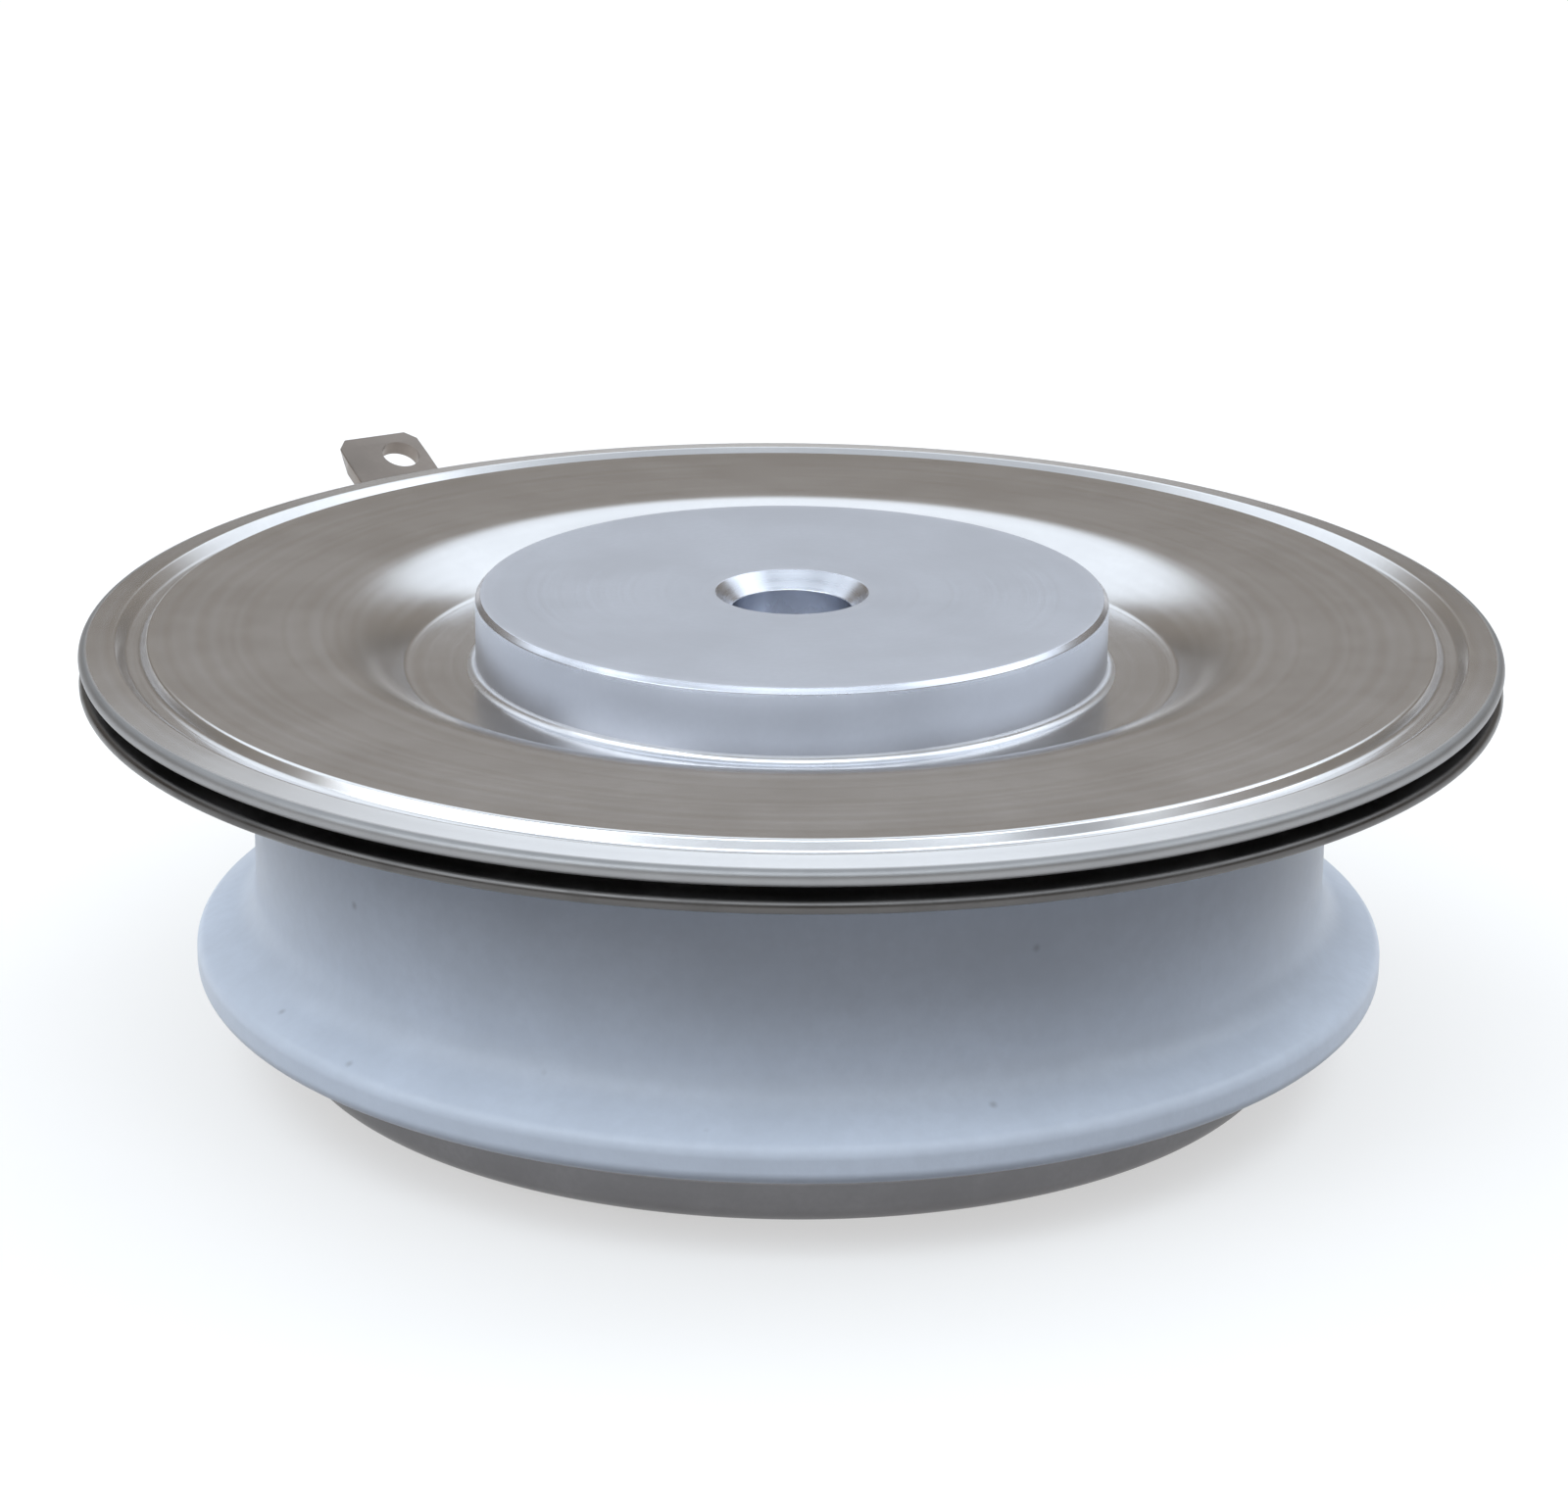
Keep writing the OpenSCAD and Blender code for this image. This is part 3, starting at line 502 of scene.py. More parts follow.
class Shader:
    """Short hand for adding and joining nodes of one tree."""

    def __init__(self, tree):
        self.tree = tree

    def add(self, kind, values=None, **options):
        """A node with options set, and inputs set to values or joined to sockets."""
        node = self.tree.nodes.new(kind)
        for key, value in options.items():
            setattr(node, key, value)
        for key, value in (values or {}).items():
            if isinstance(value, bpy.types.NodeSocket):
                self.tree.links.new(value, node.inputs[key])
            else:
                node.inputs[key].default_value = value
        return node

    def math(self, operation, a, b=0.0):
        return self.add("ShaderNodeMath", {0: a, 1: b}, operation=operation).outputs[0]

    def blend(self, share, a, b):
        """Colour a where share is 0 and b where it is 1."""
        return self.add("ShaderNodeMix", {0: share, 6: a, 7: b}, data_type="RGBA").outputs[2]

    def span(self, value, low, high, to_low, to_high, smooth=True):
        """Maps a value from one range to another."""
        node = self.add(
            "ShaderNodeMapRange",
            {"Value": value, 1: low, 2: high, 3: to_low, 4: to_high},
            interpolation_type="SMOOTHSTEP" if smooth else "LINEAR",
        )
        return node.outputs[0]

    def place(self):
        """Place on the piece, in mm from its origin."""
        place = self.add("ShaderNodeTexCoord").outputs["Object"]
        return self.add("ShaderNodeVectorMath", {0: place, 3: 1 / MM}, operation="SCALE").outputs[0]

    def radius(self):
        """Distance from Z in mm."""
        flat = {0: self.place(), 1: (1, 1, 0)}
        flat = self.add("ShaderNodeVectorMath", flat, operation="MULTIPLY").outputs[0]
        return self.add("ShaderNodeVectorMath", {0: flat}, operation="LENGTH").outputs["Value"]

    def noise(self, scale, detail, roughness=0.5):
        """Soft noise with so many patches to the mm."""
        values = {"Vector": self.place(), "Scale": scale, "Detail": detail, "Roughness": roughness}
        return self.add("ShaderNodeTexNoise", values).outputs[0]

    def bump(self, strength, distance, height):
        """Normal of a surface raised by height."""
        values = {"Strength": strength, "Distance": distance, "Height": height}
        return self.add("ShaderNodeBump", values).outputs[0]

    def rays(self):
        """Two shares: 1 for the camera's rays, and 1 for reflections and what shines through."""
        ray = self.add("ShaderNodeLightPath").outputs
        return ray["Is Camera Ray"], self.math("MAXIMUM", ray["Is Glossy Ray"], ray["Is Transmission Ray"])

    def join(self, value, node, key):
        self.tree.links.new(value, node.inputs[key])


def new_group(name, inputs, output):
    """Empty shader group with named float inputs, which are returned as sockets, and one output."""
    tree = bpy.data.node_groups.new(name, "ShaderNodeTree")
    for label, default in inputs.items():
        socket = tree.interface.new_socket(label, in_out="INPUT", socket_type="NodeSocketFloat")
        socket.default_value = default
    tree.interface.new_socket(output, in_out="OUTPUT", socket_type="NodeSocketFloat")
    shader = Shader(tree)
    return shader, shader.add("NodeGroupInput").outputs, shader.add("NodeGroupOutput")


def turned_rings_group():
    """Fine rings about Z, as a lathe or a spinning tool leaves: noise read along the radius."""
    s, given, out = new_group("turned_rings", {"Rings per mm": 6.0, "Wander": 0.4}, "Rings")
    drift = s.math("MULTIPLY", s.noise(0.16, 2.0), given["Wander"])
    along = s.math("ADD", s.math("MULTIPLY", s.radius(), given["Rings per mm"]), drift)
    rings = s.add("ShaderNodeTexNoise", {"W": along, "Scale": 1.0, "Detail": 3.0}, noise_dimensions="1D")
    s.join(rings.outputs[0], out, "Rings")
    return s.tree


def mottle_group():
    """Cloudy variation: soft noise stretched to the full range from 0 to 1."""
    s, given, out = new_group("mottle", {"Patches per mm": 0.3, "Detail": 4.0}, "Cloud")
    noise = s.noise(given["Patches per mm"], given["Detail"], 0.6)
    s.join(s.span(noise, 0.3, 0.7, 0.0, 1.0), out, "Cloud")
    return s.tree


def specks_group():
    """Scattered small dots: cells whose own random value is low, shown close to their middle."""
    s, given, out = new_group("specks", {"Cells per mm": 1.2, "Size": 0.2, "Share": 0.1}, "Dots")
    cells = s.add("ShaderNodeTexVoronoi", {"Vector": s.place(), "Scale": given["Cells per mm"]}).outputs
    near = s.span(cells["Distance"], given["Size"], 0.0, 0.0, 1.0)
    pick = s.add("ShaderNodeSeparateColor", {"Color": cells["Color"]}).outputs["Red"]
    chosen = s.math("LESS_THAN", pick, given["Share"])
    s.join(s.math("MULTIPLY", near, chosen), out, "Dots")
    return s.tree


def edge_wear_and_highlight_group():
    """Rubbed edges, also used as painted highlights on them: the mesh's own edge value, broken up by
    noise.
    """
    s, given, out = new_group("edge_wear", {"Amount": 1.0}, "Worn")
    edge = s.add("ShaderNodeAttribute", attribute_name=WEAR).outputs["Fac"]
    broken = s.math("MULTIPLY", edge, s.span(s.noise(0.9, 3.0), 0.3, 0.6, 0.35, 1.0))
    s.join(s.math("MULTIPLY", broken, given["Amount"]), out, "Worn")
    return s.tree


def outside_group():
    """Share of a piece's outside: 0 up to a radius about Z and 1 a little past it."""
    s, given, out = new_group("outside", {"From mm": 100.0}, "Share")
    past = s.math("ADD", given["From mm"], 0.12)
    s.join(s.span(s.radius(), given["From mm"], past, 0.0, 1.0), out, "Share")
    return s.tree


def lapped_faces_group():
    """Share of the two flat contact faces: 1 at the lowest and highest level along Z, 0 between."""
    s, given, out = new_group("lapped_faces", {"Low mm": -1.0, "High mm": 100.0}, "Lapped")
    z = s.add("ShaderNodeSeparateXYZ", {0: s.place()}).outputs["Z"]
    below = s.math("LESS_THAN", z, s.math("ADD", given["Low mm"], 0.01))
    above = s.math("GREATER_THAN", z, s.math("SUBTRACT", given["High mm"], 0.01))
    s.join(s.math("MAXIMUM", below, above), out, "Lapped")
    return s.tree


GROUPS = {
    "turned_rings": turned_rings_group,
    "mottle": mottle_group,
    "specks": specks_group,
    "edge_wear": edge_wear_and_highlight_group,
    "outside": outside_group,
    "lapped_faces": lapped_faces_group,
}


def place_group(shader, name, output, **values):
    """A shared effect in a material, with its own values; built on first use."""
    tree = bpy.data.node_groups.get(name) or GROUPS[name]()
    node = shader.add("ShaderNodeGroup", node_tree=tree)
    for key, value in values.items():
        node.inputs[key.replace("_", " ").capitalize()].default_value = value
    return node.outputs[output]


def rgba(colour, gain=1.0):
    return (*(min(1.0, c * gain) for c in colour), 1.0)


def new_material(name):
    """Material with a bare Principled shader, and short hand for its nodes."""
    material = bpy.data.materials.new(name + FINISH)
    material.use_nodes = True
    shader = Shader(material.node_tree)
    return material, shader, material.node_tree.nodes["Principled BSDF"]


def metal(name, colour, rough, rings=6.0, depth=1e-4, tone=0.12, wear=0.6, outside=None, lapped=None):
    """Worked metal: cloudy tone, fine rings and grain in the bump, and edges rubbed bright, which also
    paints highlights on them.

    The outside lies past a radius in mm: its colour is multiplied by a gain, which paints shade on it, and
    its roughness grows.
    The lapped contact faces lie at two levels in mm: their roughness grows too.
    """
    if name + FINISH in bpy.data.materials:
        return bpy.data.materials[name + FINISH]
    material, s, body = new_material(name)
    cloud = place_group(s, "mottle", "Cloud", patches_per_mm=0.3, detail=5.0)
    fine = place_group(s, "mottle", "Cloud", patches_per_mm=5.0, detail=1.5)
    lines = place_group(s, "turned_rings", "Rings", rings_per_mm=rings, wander=0.5)
    wear_and_highlight = place_group(s, "edge_wear", "Worn", amount=wear)
    shade = s.blend(cloud, rgba(colour, 1 - tone), rgba(colour, 1 + tone))
    shade = s.blend(s.math("MULTIPLY", fine, 0.35), shade, rgba(colour, 1 - tone))
    # Edges lightened: real rubbing, and also a painted highlight, as on the poles' chamfers.
    shade = s.blend(wear_and_highlight, shade, rgba(colour, 1.35))
    satin = s.span(cloud, 0.0, 1.0, rough * (1 - tone), rough * (1 + tone), smooth=False)
    satin = s.math("SUBTRACT", satin, s.math("MULTIPLY", wear_and_highlight, rough * 0.35))
    satin = s.math("ADD", satin, s.math("MULTIPLY", s.math("SUBTRACT", lines, 0.5), rough * 0.3))
    if outside:
        edge = place_group(s, "outside", "Share", from_mm=outside["from_mm"])
        # Painted shade: the outside's colour is darkened by the gain.
        painted_shade = s.add("ShaderNodeVectorMath", {0: shade, 3: outside["gain"]}, operation="SCALE").outputs[0]
        shade = s.blend(edge, shade, painted_shade)
        satin = s.math("ADD", satin, s.math("MULTIPLY", edge, outside["rougher"]))
    if lapped:
        matt = place_group(s, "lapped_faces", "Lapped", low_mm=lapped["low_mm"], high_mm=lapped["high_mm"])
        satin = s.math("ADD", satin, s.math("MULTIPLY", matt, lapped["rougher"]))
    s.join(shade, body, "Base Color")
    s.join(satin, body, "Roughness")
    height = s.math("MULTIPLY", s.math("ADD", lines, s.math("MULTIPLY", fine, 0.5)), depth)
    s.join(s.bump(0.5, 0.01, height), body, "Normal")
    body.inputs["Metallic"].default_value = 1.0
    return material


def glazed_ceramic(name, colour):
    """Glazed ceramic: pale body with faint clouds, a few grey specks, and a slightly uneven glaze."""
    material, s, body = new_material(name)
    cloud = place_group(s, "mottle", "Cloud", patches_per_mm=0.16, detail=6.0)
    fine = place_group(s, "mottle", "Cloud", patches_per_mm=2.2, detail=4.0)
    dots = place_group(s, "specks", "Dots", cells_per_mm=0.9, size=0.16, share=0.06)
    base = s.blend(cloud, rgba(colour, 0.94), rgba(colour, 1.05))
    grey = s.blend(s.math("MULTIPLY", fine, 0.3), base, rgba(colour, 0.9))
    soiled = s.blend(s.math("MULTIPLY", dots, 0.5), grey, rgba(colour, 0.45))
    s.join(soiled, body, "Base Color")
    s.join(s.span(cloud, 0.0, 1.0, 0.36, 0.46, smooth=False), body, "Roughness")
    height = s.math("ADD", s.math("MULTIPLY", cloud, 0.004), s.math("MULTIPLY", fine, 0.0006))
    s.join(s.bump(0.4, 0.01, height), body, "Normal")
    body.inputs["Specular IOR Level"].default_value = 0.25
    body.inputs["Coat Weight"].default_value = 0.08
    body.inputs["Coat Roughness"].default_value = 0.12
    return material


def moulded(name, colour, rough, tone=0.08):
    """Moulded plastic or rubber: faint clouds of tone and a fine grain."""
    material, s, body = new_material(name)
    cloud = place_group(s, "mottle", "Cloud", patches_per_mm=0.5, detail=4.0)
    fine = place_group(s, "mottle", "Cloud", patches_per_mm=12.0, detail=2.0)
    s.join(s.blend(cloud, rgba(colour, 1 - tone), rgba(colour, 1 + tone)), body, "Base Color")
    s.join(s.span(fine, 0.0, 1.0, rough * 0.9, rough * 1.1), body, "Roughness")
    s.join(s.bump(0.3, 0.005, fine), body, "Normal")
    return material


def pole_metal():
    p = settings("poles")
    # Painted shade: the pole's side, past the face, is darkened to 0.78 of the plating's colour.
    side = {"from_mm": p.face_r / MM - 0.1, "gain": 0.78, "rougher": 0.0}
    faces = {"low_mm": 0.0, "high_mm": p.top_z / MM, "rougher": 0.19}
    colour = settings("colours").pole
    return metal("plated_pole", colour, 0.29, rings=7.0, tone=0.03, wear=0.5, outside=side, lapped=faces)


def lid_metal():
    # Painted shade: past this radius the rim's half-round edge has its colour darkened to 0.42, and it is
    # also rougher.
    edge = {"from_mm": settings("sheets").flange_r / MM - 0.28, "gain": 0.42, "rougher": 0.25}
    colour = settings("colours").lid
    return metal("lid_sheet", colour, 0.24, rings=3.0, depth=2e-5, tone=0.035, wear=0.2, outside=edge)


def shade_darkened_flange_metal():
    # Painted shade: the seal flange's colour is set very dark.
    return metal("flange_sheet", settings("colours").flange, 0.42, rings=3.0, tone=0.14)


def shade_darkened_base_metal():
    # Painted shade: the anode flange's colour is set dark.
    return metal("base_sheet", settings("colours").base, 0.42, rings=3.0, tone=0.12, wear=0.4)


def braze_metal():
    return metal("silver_braze", settings("colours").braze, 0.3, rings=1.0, tone=0.08, wear=0.3)


def gate_metal():
    return metal("gate_metal", settings("colours").gate, 0.34, rings=0.6, tone=0.12, wear=0.7)


# Operators


class BuildPoles(bpy.types.Operator):
    """Turns both contact poles with their locating holes, and the braze at their feet"""

    bl_idname = "thyristor.build_poles"
    bl_label = "Contact poles"

    def execute(self, context):
        p = settings("poles")
        e = p.edge_round
        hole_end = p.top_z - p.hole_depth
        mouth = p.hole_r + p.hole_chamfer
        cathode = outline(
            [
                (0, hole_end),
                (p.hole_r, hole_end, e),
                (p.hole_r, p.top_z - p.hole_chamfer, e),
                (mouth, p.top_z, e),
                (p.face_r - p.cathode_chamfer, p.top_z, e),
                (p.face_r, p.top_z - p.cathode_chamfer, e),
                (p.face_r, p.cathode_shoulder),
                (p.body_r, p.cathode_shoulder, e),
                (p.body_r, p.foot_z + p.bevel, e),
                (p.body_r - p.bevel, p.foot_z, e),
                (p.gate_bore_r, p.foot_z, e),
                (p.gate_bore_r, p.gate_bore_z),
                (0, p.gate_bore_z),
            ]
        )
        piece = revolve_body("cathode_pole_turned", cathode)
        half = p.slot_w / 2
        cut_away(piece, box_cutter((MM, -half, p.foot_z - MM), (p.body_r + MM, half, p.slot_top)))
        settle(piece, "cathode_pole", pole_metal())

        anode = outline(
            [
                (0, p.hole_depth),
                (p.hole_r, p.hole_depth, e),
                (p.hole_r, p.hole_chamfer, e),
                (mouth, 0, e),
                (p.face_r - p.anode_chamfer, 0, e / 2),
                (p.face_r, p.anode_chamfer, e / 2),
                (p.face_r, p.anode_shoulder),
                (p.body_r, p.anode_shoulder, e),
                (p.body_r, p.anode_top, e),
                (0, p.anode_top),
            ]
        )
        piece = revolve_body("anode_pole_turned", anode)
        settle(piece, "anode_pole", pole_metal())

        sheet = settings("sheets")
        well_z = sheet.lid_z - sheet.well_depth
        for end, z, rise in (
            ("cathode", well_z, p.cathode_fillet_h),
            ("anode", sheet.anode_z, -p.anode_fillet_h),
        ):
            fillet = braze_section(p.face_r, p.fillet_w, z, rise)
            piece = revolve_ring(f"{end}_braze_fillet", fillet)
            settle(piece, f"{end}_braze_ring", braze_metal())
        return {"FINISHED"}


def braze_section(r, width, z, rise):
    """Hollow fillet: a corner at (r, z) and a quarter ellipse between the two faces it wets."""
    a = np.linspace(0, math.pi / 2, 2 * BEND_STEPS + 1)
    curve = np.stack([r + width * (1 - np.sin(a)), z + rise * (1 - np.cos(a))], -1)
    corner = np.array([[r, z]])
    return with_supports([corner, curve, corner])[:-1]


def lid_section():
    """Section of the lid: its upper face, a half-round rim, and its underside back to the pole."""
    k = settings("sheets")
    start = settings("poles").face_r + k.clear
    under, well = k.lid_z - k.lid_t, k.lid_z - k.well_depth
    groove, weld = k.lid_z - k.weld_depth - k.weld_coin, under - k.weld_depth
    inner, outer = k.weld_r - k.weld_floor_w / 2, k.weld_r + k.weld_floor_w / 2
    rim, rim_top = k.flange_r - k.rim_t / 2, k.lid_z - k.rim_droop
    foot = k.well_corner_r - k.well_slope_w
    half = k.lid_t / 2
    lean = half * math.tan(math.atan2(k.well_depth, k.well_slope_w) / 2)
    upper_face = [
        (start, well),
        (foot - lean, well, k.well_foot_bend - half),
        (k.well_corner_r - lean, k.lid_z, k.well_bend + half),
        (inner - k.weld_inner_w, k.lid_z, k.weld_lip),
        (inner, groove, k.weld_bend),
        (outer, groove, k.weld_bend),
        (outer + k.weld_outer_w, k.lid_z - k.rim_drop, k.weld_lip),
        (rim, rim_top),
    ]
    under_face = [
        (start, well - k.lid_t),
        (foot + lean, well - k.lid_t, k.well_foot_bend + half),
        (k.well_corner_r + lean, under, k.well_bend - half),
        (k.weld_r - 2 * k.weld_floor_w, under, k.weld_bend),
        (k.weld_r - k.weld_floor_w, weld, k.weld_bend),
        (k.weld_r + k.weld_floor_w, weld, k.weld_bend),
        (k.weld_r + 2 * k.weld_floor_w, under - k.rim_drop, k.weld_bend),
        (rim, rim_top - k.rim_t),
    ]
    angle = np.linspace(math.pi / 2, -math.pi / 2, 2 * BEND_STEPS + 1)[1:-1, None]
    edge = k.rim_t / 2 * np.concatenate([np.cos(angle), np.sin(angle)], 1)
    edge += [rim, rim_top - k.rim_t / 2]
    return np.concatenate([outline(upper_face), edge, outline(under_face)[::-1]])


class BuildSheets(bpy.types.Operator):
    """Presses the lid, the seal flange and the anode flange"""

    bl_idname = "thyristor.build_sheets"
    bl_label = "Lid and flanges"

    def execute(self, context):
        k = settings("sheets")
        pole = settings("poles").face_r
        piece = revolve_ring("lid_pressed", lid_section())
        settle(piece, "cathode_lid", lid_metal())

        weld_z = k.lid_z - k.weld_depth - k.lid_t
        seal_middle = weld_z - k.seal_t / 2
        seal = [
            (k.seal_bore_r, seal_middle),
            (k.weld_r + k.weld_floor_w, seal_middle, k.seal_bend),
            (k.flange_r - k.seal_t / 2, seal_middle - k.seal_splay),
        ]
        piece = revolve_ring("seal_flange_pressed", sheet_outline(seal, k.seal_t))
        settle(piece, "seal_flange", shade_darkened_flange_metal())

        low = k.anode_z + k.anode_t / 2
        dish = [
            (pole + k.clear, low),
            (k.dish_r, low, k.dish_bend),
            (k.dish_r + k.dish_wall_w, low + k.dish_h, k.dish_bend),
            (k.anode_rim_r - k.anode_t / 2, low + k.dish_h),
        ]
        piece = revolve_ring("anode_flange_pressed", sheet_outline(dish, k.anode_t))
        settle(piece, "anode_flange", shade_darkened_base_metal())
        return {"FINISHED"}


class BuildCeramic(bpy.types.Operator):
    """Makes the ceramic housing with its flared foot and the hole for the gate tube"""

    bl_idname = "thyristor.build_ceramic"
    bl_label = "Ceramic housing"

    def execute(self, context):
        c, g = settings("ceramic"), settings("gate")
        flare_top = c.low_z + c.edge_h
        section = closed_outline(
            [
                (c.bore_r, c.low_z, c.corner),
                (c.flare_r, c.low_z, c.edge_round),
                (c.flare_r, flare_top, c.edge_round),
                (c.neck_r, flare_top + c.slope_h, c.sweep),
                (c.neck_r, c.top_z, c.corner),
                (c.bore_r, c.top_z, c.corner),
            ]
        )
        piece = revolve_ring("ceramic_glazed", section)
        ends = to_gate(np.array([[c.bore_r - MM, 0, g.lead_z], [c.neck_r + MM, 0, g.lead_z]]))
        cut_away(piece, rod_cutter(ends[0], ends[1], g.hole_r))
        material = glazed_ceramic("white_ceramic", settings("colours").ceramic)
        settle(piece, "ceramic_housing", material)
        return {"FINISHED"}


class BuildGate(bpy.types.Operator):
    """Makes the pinched gate tube, the braze round it and the bent terminal lug"""

    bl_idname = "thyristor.build_gate"
    bl_label = "Gate terminal"

    def execute(self, context):
        settle(pinched_tube(), "gate_feedthrough_tube", gate_metal())
        settle(tube_braze(), "feedthrough_braze_ring", braze_metal())
        settle(bent_lug(), "gate_terminal_lug", gate_metal())
        return {"FINISHED"}


def pinched_tube():
    """Rings along X: bore, round tube, a cone cut by two slopes, and a flat tongue.

    Each ring is y = R cos t and z = R sin t, with z held between the slopes' heights.
    """
    g = settings("gate")
    t = full_turn(TUBE_SIDES)[None, :]
    flat_start = g.pinch_start - g.pinch_lead
    tongue_start = g.pinch_start + g.pinch_l
    lead = np.linspace(flat_start, tongue_start, 25)
    x = np.concatenate(
        [
            [g.pinch_start] * 2,
            [g.tube_start] * 2,
            np.linspace(g.tube_start, flat_start, 12)[1:-1],
            lead,
        ]
    )
    wide = g.tongue_w / 2 - settings("sheets").clear
    r = g.tube_r + (wide - g.tube_r) * np.clip((x - g.pinch_start) / g.pinch_l, 0, 1)
    r[:3] = (g.bore_r * 0.6, g.bore_r, g.bore_r)
    share = np.clip((x - flat_start) / (tongue_start - flat_start), 0, 1)
    h = np.where(share > 0, g.tube_r + (g.tongue_t / 2 - g.tube_r) * share, r)
    h[:3] = r[:3]
    y = r[:, None] * np.cos(t)
    z = np.clip(r[:, None] * np.sin(t), -h[:, None], h[:, None])
    tube = np.stack(np.broadcast_arrays(x[:, None], y, z), -1)

    half_w, half_t, e = g.tongue_w / 2, g.tongue_t / 2, g.edge_round
    ray = np.stack([np.cos(t[0]), np.sin(t[0])], -1)
    box = ray * np.min([half_w, half_t] / np.maximum(abs(ray), 1e-9), axis=1)[:, None]
    end = tongue_start + g.tongue_l
    stations = np.array([tongue_start, tongue_start + e, end - e, end])
    inset = np.array([e, 0, 0, e])
    scale_y, scale_z = 1 - inset / half_w, 1 - inset / half_t
    tongue = np.stack(
        np.broadcast_arrays(
            stations[:, None], box[None, :, 0] * scale_y[:, None], box[None, :, 1] * scale_z[:, None]
        ),
        -1,
    )
    rings = to_gate(np.concatenate([tube, tongue]) + [0, 0, g.lead_z])
    poles = to_gate(np.array([[g.pinch_start, 0, g.lead_z], [end, 0, g.lead_z]]))
    return loft("gate_tube_pinched", rings, poles[0], poles[1])


def tube_braze():
    """Ring of braze round the tube: its foot lies on the neck, x = sqrt(R^2 - y^2), its top is flat."""
    g, c = settings("gate"), settings("ceramic")
    t = full_turn(TUBE_SIDES)[None, :]
    soft = g.braze_t * 0.3
    top = c.neck_r + g.braze_t
    arc = np.linspace(0, math.pi / 2, 7)
    foot = np.linspace(g.tube_r, g.braze_r, 3)
    r = np.concatenate([foot, g.braze_r - soft * (1 - np.cos(arc)), [g.tube_r]])[:, None]
    y, z = r * np.cos(t), r * np.sin(t)
    x = np.full_like(y, top)
    x[:3] = np.sqrt(c.neck_r**2 - y[:3] ** 2)
    x[3:-1] = (top - soft * (1 - np.sin(arc)))[:, None]
    points = to_gate(np.stack([x, y, z + g.lead_z], -1).reshape(-1, 3))
    return new_piece("gate_tube_braze", points, [grid_quads(len(r), TUBE_SIDES, True, True)])


def bent_lug():
    """Strip carried along a bent line, narrowed at its tip, with a round hole cut near the tip.

    A station at (x, z) on the line has a rounded section across it, whose half width falls with x past
    the corner.
    """
    g = settings("gate")
    tongue_start = g.pinch_start + g.pinch_l
    middle = g.lead_z + g.tongue_t / 2 + g.lug_t / 2
    tip_z = middle + (g.lug_tip - g.lug_bend_at) * math.tan(g.lug_rise)
    e, half_t = g.edge_round, g.lug_t / 2
    line = outline([(tongue_start, middle), (g.lug_bend_at, middle, g.lug_bend_r), (g.lug_tip, tip_z)])
    corner_x = g.lug_tip - g.lug_corner / 2
    extra = np.linspace(0, 1, 12)[:, None] * (line[-1] - line[-2]) + line[-2]
    line = np.concatenate([line[:-2], extra])
    ahead = np.gradient(line, axis=0)
    ahead /= np.linalg.norm(ahead, axis=1)[:, None]
    up = np.stack([-ahead[:, 1], ahead[:, 0]], -1)

    arc = np.linspace(0, math.pi / 2, 6)
    low = np.stack([-e + e * np.sin(arc), -(half_t - e) - e * np.cos(arc)], -1)
    high = np.stack([-e + e * np.cos(arc), (half_t - e) + e * np.sin(arc)], -1)
    right = np.concatenate([low, high])
    inset = np.concatenate([right[:, 0], right[::-1, 0]])
    lift = np.concatenate([right[:, 1], right[::-1, 1]])
    sign = np.repeat([1.0, -1.0], len(right))

    xz = line[:, None, :] + lift[None, :, None] * up[:, None, :]
    fall = np.clip((xz[..., 0] - corner_x) / (g.lug_t + g.lug_corner / 2), 0, 1)
    half_w = g.lug_w / 2 - g.lug_corner * fall
    y = sign[None, :] * (half_w + inset[None, :])
    rings = np.stack([xz[..., 0], y, xz[..., 1]], -1)
    poles = to_gate(np.insert(line[[0, -1]], 1, 0, axis=1))
    piece = loft("gate_lug_bent", to_gate(rings), poles[0], poles[1])

    slope, normal = ahead[-1], up[-1]
    centre = line[-1] - g.lug_hole_inset * slope
    rod = np.stack([centre - g.lug_t * normal, centre + g.lug_t * normal])
    rod = to_gate(np.insert(rod, 1, -g.lug_hole_side, axis=1))
    cut_away(piece, rod_cutter(rod[0], rod[1], g.lug_hole_r))
    return piece


